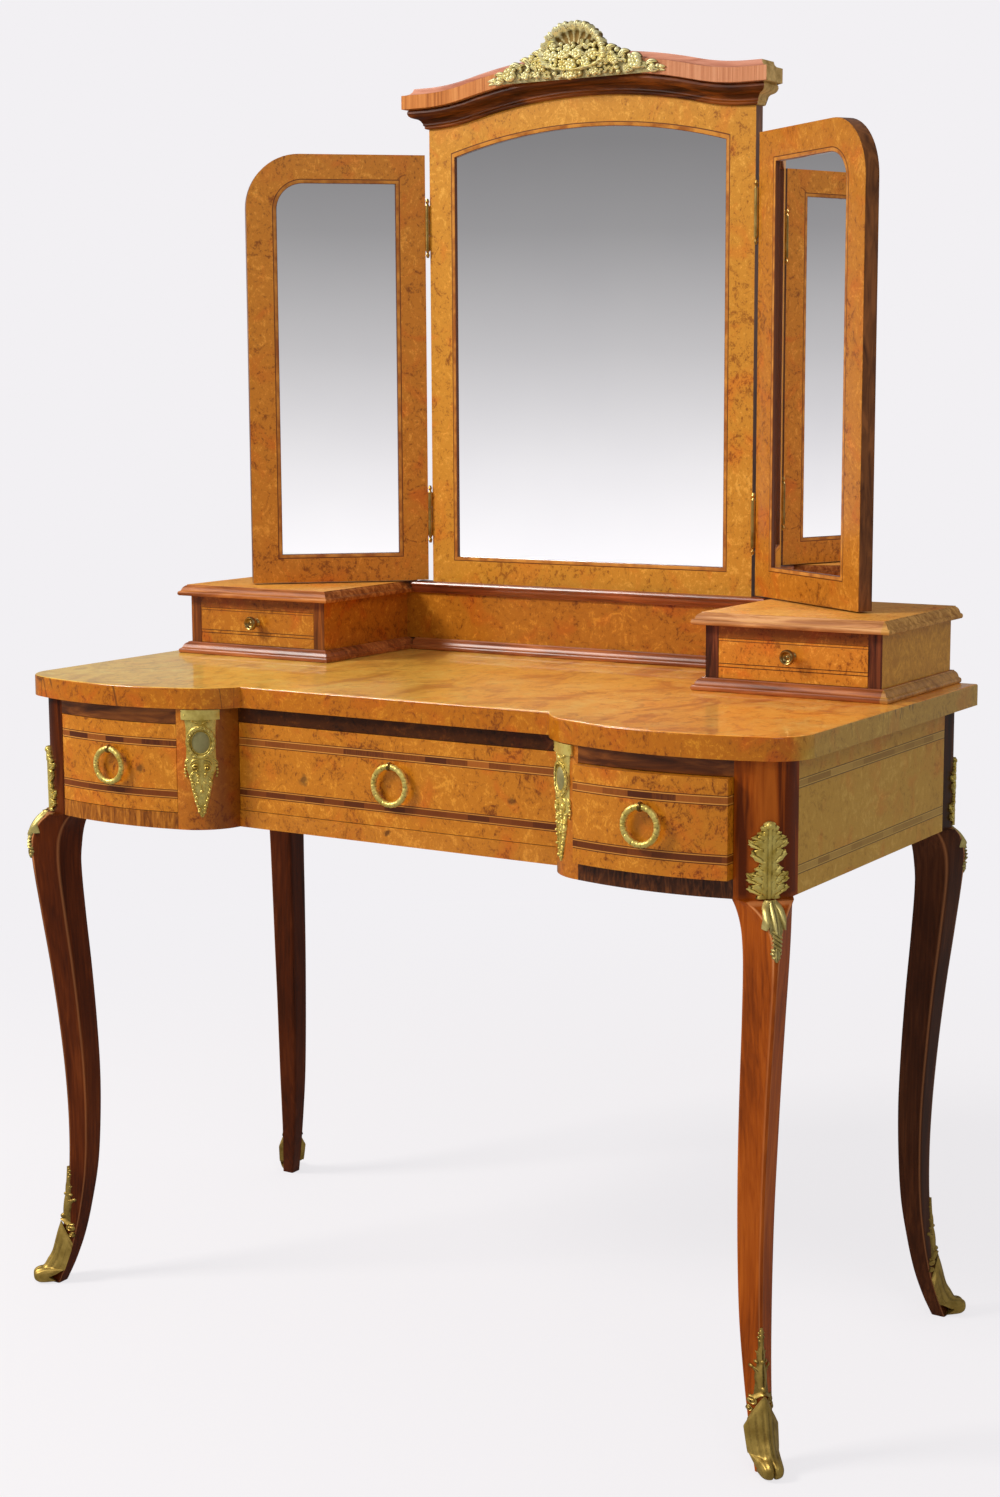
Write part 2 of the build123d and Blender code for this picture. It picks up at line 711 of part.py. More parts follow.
def ring_pull(x, y_face, radius):
    """The eye that stands on a drawer front, and the ring that hangs through it."""
    y = y_face - EYE_STAND
    with BuildPart() as eye:
        with BuildSketch(Plane.YZ.offset(x)):
            with Locations((y, PULL_HEIGHT)):
                Circle(EYE_OUTER)
        extrude(amount=EYE_HALF, both=True)
        fillet(eye.edges().filter_by(GeomType.CIRCLE), radius=EYE_HALF * 0.5)
        with BuildSketch(Plane.XZ.offset(-y_face)):
            with Locations((x, PULL_HEIGHT)):
                Circle(EYE_STEM)
        extrude(amount=EYE_STAND)
        with BuildSketch(Plane.YZ.offset(x)):
            with Locations((y, PULL_HEIGHT)):
                Circle(EYE_HOLE)
        extrude(amount=EYE_STEM, both=True, mode=Mode.SUBTRACT)
    with BuildPart() as ring:
        with Locations(Location((x, y, PULL_HEIGHT - radius), (90, 0, 0))):
            Torus(radius, RING_TUBE)
    return eye.part, ring.part


FRONT_BASE = DRAWER_FLOOR + FRONT_GAP
FRONT_HEIGHT = DRAWER_CEILING - DRAWER_FLOOR - 2 * FRONT_GAP
PEDESTAL_MIDDLE = (SIDE_EDGE_IN + SIDE_EDGE_OUT) / 2

for side, name, proud in ((-1, "left", 0.0), (1, "right", RIGHT_DRAWER_PROUD)):
    with BuildPart() as drawer_front:
        with BuildSketch(Plane.XY.offset(FRONT_BASE)):
            add(pedestal_plan(side, SIDE_EDGE_IN, SIDE_EDGE_OUT, FRONT_BACK - proud, proud))
        extrude(amount=FRONT_HEIGHT)
    save(drawer_front.part, f"{name}_drawer_front")
    x_ends = sorted((side * SIDE_EDGE_IN, side * SIDE_EDGE_OUT))
    box = drawer_box(
        x_ends[0],
        x_ends[1],
        FRONT_BACK - proud,
        DRAWER_FLOOR + RUN_GAP,
        DRAWER_LENGTH,
        DRAWER_SIDE_HEIGHT,
        DRAWER_SIDE,
    )
    save(box, f"{name}_drawer_box")
    eye, ring = ring_pull(side * PEDESTAL_MIDDLE, POST_FRONT - BOW - proud, SIDE_RING_RADIUS)
    save(eye, f"{name}_pull_eye")
    save(ring, f"{name}_pull_ring")

with BuildPart() as centre_drawer_front:
    with BuildSketch(Plane.XY.offset(FRONT_BASE)):
        with Locations((0, CENTRE_FRONT + CENTRE_FRONT_THICK / 2)):
            Rectangle(2 * CENTRE_EDGE, CENTRE_FRONT_THICK)
    extrude(amount=FRONT_HEIGHT)
save(centre_drawer_front.part, "centre_drawer_front")
save(
    drawer_box(
        -CENTRE_EDGE,
        CENTRE_EDGE,
        CENTRE_FRONT + CENTRE_FRONT_THICK,
        DRAWER_FLOOR + RUN_GAP,
        DRAWER_LENGTH - CENTRE_FRONT + POST_FRONT,
        DRAWER_SIDE_HEIGHT,
        DRAWER_SIDE,
    ),
    "centre_drawer_box",
)
eye, ring = ring_pull(0, CENTRE_FRONT, CENTRE_RING_RADIUS)
save(eye, "centre_pull_eye")
save(ring, "centre_pull_ring")


# ============================================================ gallery


def plinth(x_low, x_high, y_front, y_back, moulded):
    """A board on the table top whose upper edge is moulded on the sides that show."""
    with BuildPart() as board:
        with BuildSketch(Plane.XY.offset(TOP_HEIGHT)):
            with Locations(((x_low + x_high) / 2, (y_front + y_back) / 2)):
                Rectangle(x_high - x_low, y_back - y_front)
        extrude(amount=PLINTH_HEIGHT)
        top_edges = board.faces().sort_by(Axis.Z)[-1].edges()
        for direction, index in moulded:
            edge = top_edges.sort_by(direction)[index]
            chamfer(edge, length=SLAB_SLOPE)
            top_edges = board.faces().sort_by(Axis.Z)[-1].edges()
    return board.part


INNER_LIP = BOX_INNER - PLINTH_LIP
OUTER_LIP = BOX_OUTER + PLINTH_LIP
FRONT_LIP = BOX_FRONT - PLINTH_LIP
plinths = [plinth(-INNER_LIP, INNER_LIP, MOULDING_FRONT, BACK, [(Axis.Y, 0)])]
for side in (-1, 1):
    ends = sorted((side * INNER_LIP, side * OUTER_LIP))
    plinths.append(plinth(ends[0], ends[1], FRONT_LIP, BACK, [(Axis.Y, 0), (Axis.X, 0), (Axis.X, -1)]))
save(Compound(children=plinths), "gallery_plinths")

slabs = []
for side, name in ((-1, "left"), (1, "right")):
    middle = side * (BOX_INNER + BOX_OUTER) / 2
    width = BOX_OUTER - BOX_INNER
    depth = BOX_BACK - BOX_FRONT
    opening = width - 2 * BOX_WALL
    walls = []
    for x, y, w, d, z in (
        (middle - (width - BOX_WALL) / 2, BOX_FRONT + depth / 2, BOX_WALL, depth, BOX_FLOOR),
        (middle + (width - BOX_WALL) / 2, BOX_FRONT + depth / 2, BOX_WALL, depth, BOX_FLOOR),
        (middle, BOX_BACK - SMALL_FRONT / 2, opening, SMALL_FRONT, BOX_FLOOR),
        (middle, BOX_FRONT + BOX_WALL / 2, opening, BOX_WALL, BOX_TOP - BOX_RAIL),
    ):
        with BuildPart() as wall:
            with BuildSketch(Plane.XY.offset(z)):
                with Locations((x, y)):
                    Rectangle(w, d)
            extrude(amount=BOX_TOP - z)
        walls.append(wall.part)
    save(Compound(children=walls), f"{name}_box_carcass")

    with BuildPart() as slab:
        with BuildSketch(Plane.XY.offset(BOX_TOP)):
            with Locations((middle, (FRONT_LIP + BACK) / 2)):
                Rectangle(width + 2 * PLINTH_LIP, BACK - FRONT_LIP)
        extrude(amount=SLAB_THICK)
        upper = slab.faces().sort_by(Axis.Z)[-1].edges()
        chamfer(upper.sort_by(Axis.Y)[:3], length=SLAB_SLOPE)
    slabs.append(slab.part)

    front_low = BOX_FLOOR + SMALL_GAP
    front_high = BOX_TOP - BOX_RAIL - SMALL_GAP
    with BuildPart() as small_front:
        with BuildSketch(Plane.XY.offset(front_low)):
            with Locations((middle, BOX_FRONT + SMALL_FRONT / 2)):
                Rectangle(opening - 2 * SMALL_GAP, SMALL_FRONT)
        extrude(amount=front_high - front_low)
    save(small_front.part, f"{name}_small_drawer_front")
    save(
        drawer_box(
            middle - opening / 2 + SMALL_GAP,
            middle + opening / 2 - SMALL_GAP,
            BOX_FRONT + SMALL_FRONT,
            BOX_FLOOR + RUN_GAP,
            SMALL_LENGTH - SMALL_FRONT,
            SMALL_SIDE_HEIGHT,
            SMALL_SIDE,
        ),
        f"{name}_small_drawer_box",
    )
    with BuildPart() as knob:
        axis_plane = Plane(origin=(middle, BOX_FRONT, KNOB_HEIGHT), x_dir=(1, 0, 0), z_dir=(0, 0, 1))
        with BuildSketch(axis_plane):
            with BuildLine():
                Polyline(
                    (0, 0),
                    (0.55 * KNOB_RADIUS, 0),
                    (0.50 * KNOB_RADIUS, -0.12 * KNOB_REACH),
                    (0.32 * KNOB_RADIUS, -0.30 * KNOB_REACH),
                    (0.34 * KNOB_RADIUS, -0.50 * KNOB_REACH),
                    (KNOB_RADIUS, -0.72 * KNOB_REACH),
                    (KNOB_RADIUS, -0.90 * KNOB_REACH),
                    (0.82 * KNOB_RADIUS, -KNOB_REACH),
                    (0.62 * KNOB_RADIUS, -0.90 * KNOB_REACH),
                    (0, -0.78 * KNOB_REACH),
                    (0, 0),
                )
            make_face()
        revolve(axis=Axis((middle, BOX_FRONT, KNOB_HEIGHT), (0, 1, 0)))
    save(knob.part, f"{name}_knob")

save(Compound(children=slabs), "gallery_slabs")

with BuildPart() as gallery_panel:
    with BuildSketch(Plane.XY.offset(BOX_FLOOR)):
        with Locations((0, PANEL_FRONT + GALLERY_PANEL_THICK / 2)):
            Rectangle(2 * BOX_INNER, GALLERY_PANEL_THICK)
    extrude(amount=BOX_TOP - BOX_FLOOR)
save(gallery_panel.part, "gallery_panel")

with BuildPart() as gallery_moulding:
    with BuildSketch(Plane.XY.offset(BOX_TOP)):
        with Locations((0, (MOULDING_FRONT + BACK) / 2)):
            Rectangle(2 * INNER_LIP, BACK - MOULDING_FRONT)
    extrude(amount=SLAB_THICK)
    chamfer(gallery_moulding.edges().group_by(Axis.Z)[0].sort_by(Axis.Y)[0], length=MOULDING_COVE)
save(gallery_moulding.part, "gallery_moulding")


# ============================================================ central mirror


def arch_line(level, reach):
    """The cornice's serpentine line, level at the ends and arched in the middle."""
    turn_level = level + ARCH_RISE * (ARCH_HALF - ARCH_TURN) / ARCH_HALF
    right = Line((reach, level), (ARCH_HALF, level))
    first = TangentArc(right @ 1, (ARCH_TURN, turn_level), tangent=(-1, 0))
    crown = TangentArc(first @ 1, (-ARCH_TURN, turn_level), tangent=first % 1)
    last = TangentArc(crown @ 1, (-ARCH_HALF, level), tangent=crown % 1)
    Line(last @ 1, (-reach, level))


def mirror_layer(y):
    """Upright plane facing the front at a depth, its x along +X and its y upwards."""
    return Plane.XZ.offset(-y)


def sight_outline(grow):
    """Outline of the central mirror's sight opening, arched on top, grown by an amount."""
    half = SIGHT_HALF + grow
    top = SIGHT_CORNER + grow
    bottom = SIGHT_BOTTOM - grow
    ThreePointArc((half, top), (0, top + SIGHT_RISE), (-half, top))
    Polyline((-half, top), (-half, bottom), (half, bottom), (half, top))


with BuildPart() as mirror_frame:
    with BuildSketch(mirror_layer(MIRROR_FRONT)):
        with BuildLine():
            arch_line(SHOULDER, MIRROR_HALF)
            Polyline(
                (-MIRROR_HALF, SHOULDER),
                (-MIRROR_HALF, GALLERY_HEIGHT),
                (MIRROR_HALF, GALLERY_HEIGHT),
                (MIRROR_HALF, SHOULDER),
            )
        make_face()
        with BuildLine():
            sight_outline(0)
        make_face(mode=Mode.SUBTRACT)
    extrude(amount=-MIRROR_THICK)
    with BuildSketch(mirror_layer(MIRROR_FRONT + GLASS_RECESS)):
        with BuildLine():
            sight_outline(REBATE)
        make_face()
    extrude(amount=-MIRROR_THICK, mode=Mode.SUBTRACT)
    add(screws, mode=Mode.SUBTRACT)
save(mirror_frame.part, "mirror_frame")

with BuildPart() as mirror_glass:
    with BuildSketch(mirror_layer(MIRROR_FRONT + GLASS_RECESS)):
        with BuildLine():
            sight_outline(REBATE - REBATE_CLEAR)
        make_face()
    extrude(amount=-GLASS_THICK)
save(mirror_glass.part, "mirror_glass")

with BuildPart() as mirror_backboard:
    with BuildSketch(mirror_layer(MIRROR_FRONT + GLASS_RECESS + GLASS_THICK)):
        with BuildLine():
            sight_outline(REBATE - REBATE_CLEAR)
        make_face()
    extrude(amount=-BOARD_THICK)
save(mirror_backboard.part, "mirror_backboard")

cornice_layers = []
layer_base = 0.0
for share, reach_share in OGEE_STEPS:
    cornice_layers.append((layer_base, share * FASCIA_RISE, reach_share * FASCIA_REACH))
    layer_base = share * FASCIA_RISE
cornice_layers.append((FASCIA_RISE, FASCIA_RISE + FASCIA_HEIGHT, FASCIA_REACH))
cap_base = FASCIA_RISE + FASCIA_HEIGHT
cornice_layers.append((cap_base, cap_base + CAP_THICK, FASCIA_REACH - CAP_SET_BACK))

with BuildPart() as cornice:
    for low, high, reach in cornice_layers:
        half = MIRROR_HALF + reach
        with BuildSketch(mirror_layer(MIRROR_FRONT - reach)):
            with BuildLine():
                arch_line(SHOULDER + high, half)
                arch_line(SHOULDER + low, half)
                Line((half, SHOULDER + low), (half, SHOULDER + high))
                Line((-half, SHOULDER + low), (-half, SHOULDER + high))
            make_face()
        extrude(amount=-(MIRROR_THICK + reach))
save(cornice.part, "cornice")

with BuildPart() as crest:
    base = FASCIA_BASE + ARCH_RISE - CREST_DROP
    shoulder_level = base + CREST_SHOULDER
    with BuildSketch(mirror_layer(MIRROR_FRONT - FASCIA_REACH)):
        with BuildLine():
            ThreePointArc((CREST_HALF, base), (0, base + CREST_SAG), (-CREST_HALF, base))
            ThreePointArc(
                (CREST_SHELL_HALF, shoulder_level),
                (0, base + CREST_HEIGHT),
                (-CREST_SHELL_HALF, shoulder_level),
            )
            for side in (-1, 1):
                Polyline(
                    (side * CREST_HALF, base),
                    (side * CREST_HALF, base + CREST_TIP),
                    (side * CREST_SPRAY_HALF, base + CREST_SPRAY),
                    (side * CREST_SHELL_HALF, shoulder_level),
                )
        make_face()
    extrude(amount=CREST_THICK)
    chamfer(crest.faces().sort_by(Axis.Y)[0].edges(), length=CREST_BEVEL)
save(crest.part, "crest")

with BuildPart() as mirror_battens:
    for x in BATTEN_CENTRES:
        with BuildSketch(Plane.YZ.offset(x - BATTEN_WIDTH / 2)):
            with BuildLine():
                Polyline(
                    (BACK, BATTEN_BOTTOM),
                    (BACK + BATTEN_THICK, BATTEN_BOTTOM),
                    (BACK + BATTEN_THICK, BATTEN_TOP),
                    (MIRROR_FRONT + MIRROR_THICK, BATTEN_TOP),
                    (MIRROR_FRONT + MIRROR_THICK, GALLERY_HEIGHT),
                    (BACK, GALLERY_HEIGHT),
                    (BACK, BATTEN_BOTTOM),
                )
            make_face()
        extrude(amount=BATTEN_WIDTH)
    add(screws, mode=Mode.SUBTRACT)
save(mirror_battens.part, "mirror_battens")
save(Compound(children=screws), "batten_screws")


# ============================================================ wings and hinges


def wing_plane(side, angle):
    """Plane at a wing's hinge axis: x runs along the wing, z towards the front of the glass."""
    turn = radians(angle)
    along = (side * cos(turn), -sin(turn), 0)
    back = (side * sin(turn), cos(turn), 0)
    facing = (-back[0], -back[1], 0)
    return Plane(origin=(side * HINGE_X, HINGE_Y, 0), x_dir=along, z_dir=facing)


def wing_outline(margin_side, margin_rail, radius):
    """Front view of a wing, its outer top corner rounded; a margin sets it in from the edge."""
    inner = HINGE_GAP + margin_side
    outer = HINGE_GAP + WING_WIDTH - margin_side
    low = WING_BOTTOM + margin_rail
    high = WING_TOP - margin_rail
    with BuildSketch() as outline:
        with Locations(((inner + outer) / 2, (low + high) / 2)):
            Rectangle(outer - inner, high - low)
        corner = outline.vertices().group_by(Axis.X)[-1].sort_by(Axis.Y)[-1]
        fillet(corner, radius=radius)
    return outline.sketch


def upright(side, angle, depth):
    """Plane in a wing, at a depth behind its front face, with y pointing up."""
    plane = wing_plane(side, angle)
    facing = plane.z_dir
    shift = HINGE_FORWARD + depth
    spot = plane.origin - facing * shift
    along = plane.x_dir
    normal = facing if side > 0 else facing * -1
    return Plane(origin=spot, x_dir=along, z_dir=normal)


for side, name, angle in ((-1, "left", LEFT_WING_ANGLE), (1, "right", RIGHT_WING_ANGLE)):
    back_sign = -side
    with BuildPart() as wing_frame:
        with BuildSketch(upright(side, angle, 0)):
            add(wing_outline(0, 0, WING_CORNER))
            add(wing_outline(WING_STILE, WING_RAIL, WING_SIGHT_CORNER), mode=Mode.SUBTRACT)
        extrude(amount=back_sign * MIRROR_THICK)
        with BuildSketch(upright(side, angle, GLASS_RECESS)):
            add(wing_outline(WING_STILE - REBATE, WING_RAIL - REBATE, WING_SIGHT_CORNER + REBATE))
        extrude(amount=back_sign * MIRROR_THICK, mode=Mode.SUBTRACT)
    save(wing_frame.part, f"{name}_wing_frame")

    glass_margin = REBATE - REBATE_CLEAR
    for piece, depth, thick in (
        ("glass", GLASS_RECESS, GLASS_THICK),
        ("backboard", GLASS_RECESS + GLASS_THICK, BOARD_THICK),
    ):
        with BuildPart() as pane:
            with BuildSketch(upright(side, angle, depth)):
                add(
                    wing_outline(
                        WING_STILE - glass_margin, WING_RAIL - glass_margin, WING_SIGHT_CORNER + glass_margin
                    )
                )
            extrude(amount=back_sign * thick)
        save(pane.part, f"{name}_wing_{piece}")


def hinge_leaf(side, level, moving):
    """One leaf of a butt hinge about the origin's Z axis, lying flat on a frame's edge."""
    third = KNUCKLE_LENGTH / 3
    base = level - KNUCKLE_LENGTH / 2
    if moving:
        bounds = [(base + third + KNUCKLE_CLEAR, base + 2 * third - KNUCKLE_CLEAR)]
    else:
        bounds = [(base, base + third), (base + 2 * third, base + KNUCKLE_LENGTH)]
    hand = side if moving else -side
    plate_x = hand * (HINGE_GAP - LEAF_PLATE / 2)
    neck = KNUCKLE_RADIUS + KNUCKLE_CLEAR
    with BuildPart() as leaf:
        with BuildSketch(Plane.XY.offset(base)):
            with Locations((plate_x, (neck + LEAF_WIDTH) / 2)):
                Rectangle(LEAF_PLATE, LEAF_WIDTH - neck)
        extrude(amount=KNUCKLE_LENGTH)
        for low, high in bounds:
            with BuildSketch(Plane.XY.offset(low)):
                Circle(KNUCKLE_RADIUS)
                with Locations((plate_x, neck / 2)):
                    Rectangle(LEAF_PLATE, neck)
            extrude(amount=high - low)
        with BuildSketch(Plane.XY.offset(base)):
            Circle(PIN_RADIUS + PIN_CLEAR)
        extrude(amount=KNUCKLE_LENGTH, mode=Mode.SUBTRACT)
    return leaf.part


def hinge_pin(level):
    """A hinge pin about the origin's Z axis with a ball and ring finial at each end."""
    half = KNUCKLE_LENGTH / 2
    with BuildPart() as pin:
        with BuildSketch(Plane.XZ):
            with BuildLine():
                Polyline(
                    (0, level - half - FINIAL_LENGTH),
                    (FINIAL_NECK, level - half - FINIAL_LENGTH),
                    (FINIAL_BALL, level - half - 0.6 * FINIAL_LENGTH),
                    (FINIAL_NECK, level - half - 0.3 * FINIAL_LENGTH),
                    (FINIAL_BALL, level - half),
                    (PIN_RADIUS, level - half),
                    (PIN_RADIUS, level + half),
                    (FINIAL_BALL, level + half),
                    (FINIAL_NECK, level + half + 0.3 * FINIAL_LENGTH),
                    (FINIAL_BALL, level + half + 0.6 * FINIAL_LENGTH),
                    (FINIAL_NECK, level + half + FINIAL_LENGTH),
                    (0, level + half + FINIAL_LENGTH),
                    (0, level - half - FINIAL_LENGTH),
                )
            make_face()
        revolve(axis=Axis.Z)
    return pin.part


fixed_leaves = []
pins = []
for side, name, angle in ((-1, "left", LEFT_WING_ANGLE), (1, "right", RIGHT_WING_ANGLE)):
    axis_place = Location((side * HINGE_X, HINGE_Y, 0))
    swung = Location((side * HINGE_X, HINGE_Y, 0), (0, 0, -side * angle))
    moving_leaves = []
    for level in HINGE_LEVELS:
        fixed_leaves.append(axis_place * hinge_leaf(side, level, False))
        pins.append(axis_place * hinge_pin(level))
        moving_leaves.append(swung * hinge_leaf(side, level, True))
    save(Compound(children=moving_leaves), f"{name}_wing_leaves")
save(Compound(children=fixed_leaves), "fixed_hinge_leaves")
save(Compound(children=pins), "hinge_pins")
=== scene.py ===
import math

import bmesh
import bpy
import numpy as np
from mathutils import Matrix


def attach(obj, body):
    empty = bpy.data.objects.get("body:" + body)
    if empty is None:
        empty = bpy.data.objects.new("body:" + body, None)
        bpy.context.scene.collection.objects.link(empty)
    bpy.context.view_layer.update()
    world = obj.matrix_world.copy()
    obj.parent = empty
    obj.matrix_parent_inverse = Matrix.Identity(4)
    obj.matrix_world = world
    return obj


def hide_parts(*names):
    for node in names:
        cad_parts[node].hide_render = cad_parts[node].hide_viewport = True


# A dressing table with a triple mirror.  Shapes are worked out in millimetres and stored in metres.
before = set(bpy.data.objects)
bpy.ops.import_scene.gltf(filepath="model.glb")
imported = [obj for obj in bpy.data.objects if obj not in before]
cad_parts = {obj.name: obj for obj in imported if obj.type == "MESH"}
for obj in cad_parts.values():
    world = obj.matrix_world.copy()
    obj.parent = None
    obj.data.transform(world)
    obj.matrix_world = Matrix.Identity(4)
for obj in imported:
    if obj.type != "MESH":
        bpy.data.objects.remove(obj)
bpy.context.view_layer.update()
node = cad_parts

# ---------------------------------------------------------------- sizes shared by several pieces
TOP = 760.0
APRON = (594.0, 735.5)
SIDE_HALF = 491.5
POST_INNER = 446.0
FRONT, BACK = -232.0, 254.0
MIRROR_HALF, MIRROR_FRONT, MIRROR_BACK = 229.8, 242.0, 260.0
SIGHT_HALF, SIGHT_LOW, SIGHT_HIGH, SIGHT_RISE = 191.0, 882.5, 1386.0, 26.0
SHOULDER = 1423.0
GALLERY = 848.5
DIAGONAL = math.sqrt(0.5)
FULL_TURN = 2 * np.pi
# by end: -1 is the front, 1 the back
POST_FACE = {-1: FRONT, 1: BACK}
POST_DEPTH = {-1: 53.5, 1: 46.0}
CORNER_RADIUS = {-1: 43.0, 1: 20.0}


# ================================================================ surfaces
def ease(t):
    """Smooth step from 0 to 1: three t squared less two t cubed, held at both ends."""
    t = np.clip(t, 0.0, 1.0)
    return t * t * (3 - 2 * t)


def round_turn(count):
    """Angles evenly round a full turn, the last one short of the first."""
    return np.linspace(0, FULL_TURN, count, endpoint=False)


def sheet(points, round_rows=False, round_columns=False, tone=0.0):
    """Quads over a (rows, columns) grid of points; where round, the last row or column meets the first."""
    points = np.asarray(points, float)
    rows, columns = points.shape[:2]
    index = np.arange(rows * columns).reshape(rows, columns)
    if round_rows:
        index = np.vstack([index, index[:1]])
    if round_columns:
        index = np.hstack([index, index[:, :1]])
    quads = np.stack([index[:-1, :-1], index[:-1, 1:], index[1:, 1:], index[1:, :-1]], -1)
    tones = np.broadcast_to(np.asarray(tone, float), (rows, columns))
    return points.reshape(-1, 3), quads.reshape(-1, 4), tones.reshape(-1)


def together(parts):
    """Several surfaces as one: their points one after another, their quads counted on."""
    starts = np.cumsum([0] + [len(p[0]) for p in parts[:-1]])
    return (
        np.concatenate([p[0] for p in parts]),
        np.concatenate([p[1] + s for p, s in zip(parts, starts)]),
        np.concatenate([p[2] for p in parts]),
    )


def capped(points, tone=0.0):
    """A grid round in its columns, each end row closed by shrinking it to its own middle point."""
    points = np.asarray(points, float)
    first = np.broadcast_to(points[0].mean(0), points[0].shape)
    last = np.broadcast_to(points[-1].mean(0), points[-1].shape)
    tones = np.broadcast_to(np.asarray(tone, float), points.shape[:2])
    tones = np.concatenate([tones[:1], tones, tones[-1:]])
    return sheet(np.concatenate([first[None], points, last[None]]), round_columns=True, tone=tones)


def make(name, part, finish, body, stands_for=(), crease=35.0):
    """One piece from a surface: doubled points merged, faces turned outwards, smooth up to a crease."""
    points, quads, tones = part
    mesh = bpy.data.meshes.new(name)
    mesh.vertices.add(len(points))
    mesh.vertices.foreach_set("co", (points * 0.001).astype(np.float32).ravel())
    mesh.loops.add(quads.size)
    mesh.loops.foreach_set("vertex_index", quads.astype(np.int32).ravel())
    mesh.polygons.add(len(quads))
    mesh.polygons.foreach_set("loop_start", np.arange(0, quads.size, 4, dtype=np.int32))
    mesh.update(calc_edges=True)
    mesh.attributes.new("tone", "FLOAT", "POINT").data.foreach_set("value", tones.astype(np.float32))
    merged = bmesh.new()
    merged.from_mesh(mesh)
    bmesh.ops.remove_doubles(merged, verts=merged.verts, dist=2e-6)
    bmesh.ops.dissolve_degenerate(merged, edges=merged.edges, dist=1e-7)
    bmesh.ops.recalc_face_normals(merged, faces=merged.faces)
    merged.to_mesh(mesh)
    merged.free()
    mesh.shade_smooth()
    mesh.set_sharp_from_angle(angle=math.radians(crease))
    mesh.materials.append(finish)
    piece = bpy.data.objects.new(name, mesh)
    bpy.context.scene.collection.objects.link(piece)
    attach(piece, body)
    if stands_for:
        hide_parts(*stands_for)
    return piece


# ================================================================ finishes
class Nodes:
    """The nodes of a material or a world under construction: short calls that add and join them."""

    def __init__(self, owner):
        """Starts from an empty node tree."""
        owner.use_nodes = True
        self.owner = owner
        self.tree = owner.node_tree
        self.tree.nodes.clear()

    def add(self, kind, **settings):
        """A new node with its settings."""
        new = self.tree.nodes.new(kind)
        for key, value in settings.items():
            setattr(new, key, value)
        return new

    def put(self, socket, value):
        """A socket fed by another node's output, or set to a plain value."""
        if isinstance(value, bpy.types.NodeSocket):
            self.tree.links.new(value, socket)
        elif value is not None:
            socket.default_value = value

    def sum(self, kind, a, b=None, clamp=False):
        """One step of arithmetic."""
        new = self.add("ShaderNodeMath", operation=kind, use_clamp=clamp)
        self.put(new.inputs[0], a)
        self.put(new.inputs[1], b)
        return new.outputs[0]

    def ramp(self, value, *stops):
        """Colours between stops of (position, colour)."""
        new = self.add("ShaderNodeValToRGB")
        elements = new.color_ramp.elements
        while len(elements) < len(stops):
            elements.new(0.5)
        for element, (spot, colour) in zip(elements, stops):
            element.position = spot
            element.color = rgb(colour)
        self.put(new.inputs["Fac"], value)
        return new.outputs["Color"]

    def shader(self, kind, colour, strength=None):
        """A plain shader of one colour, with its strength where it gives light."""
        new = self.add(kind)
        self.put(new.inputs["Color"], rgb(colour))
        if strength is not None:
            self.put(new.inputs["Strength"], strength)
        return new.outputs[0]

    def either(self, share, a, b):
        """The first shader where the share is 0, the second where it is 1."""
        new = self.add("ShaderNodeMixShader")
        for socket, value in zip(new.inputs, (share, a, b)):
            self.put(socket, value)
        return new.outputs[0]

    def show(self, kind, surface):
        """The output that shows a surface."""
        self.put(self.add(kind).inputs["Surface"], surface)


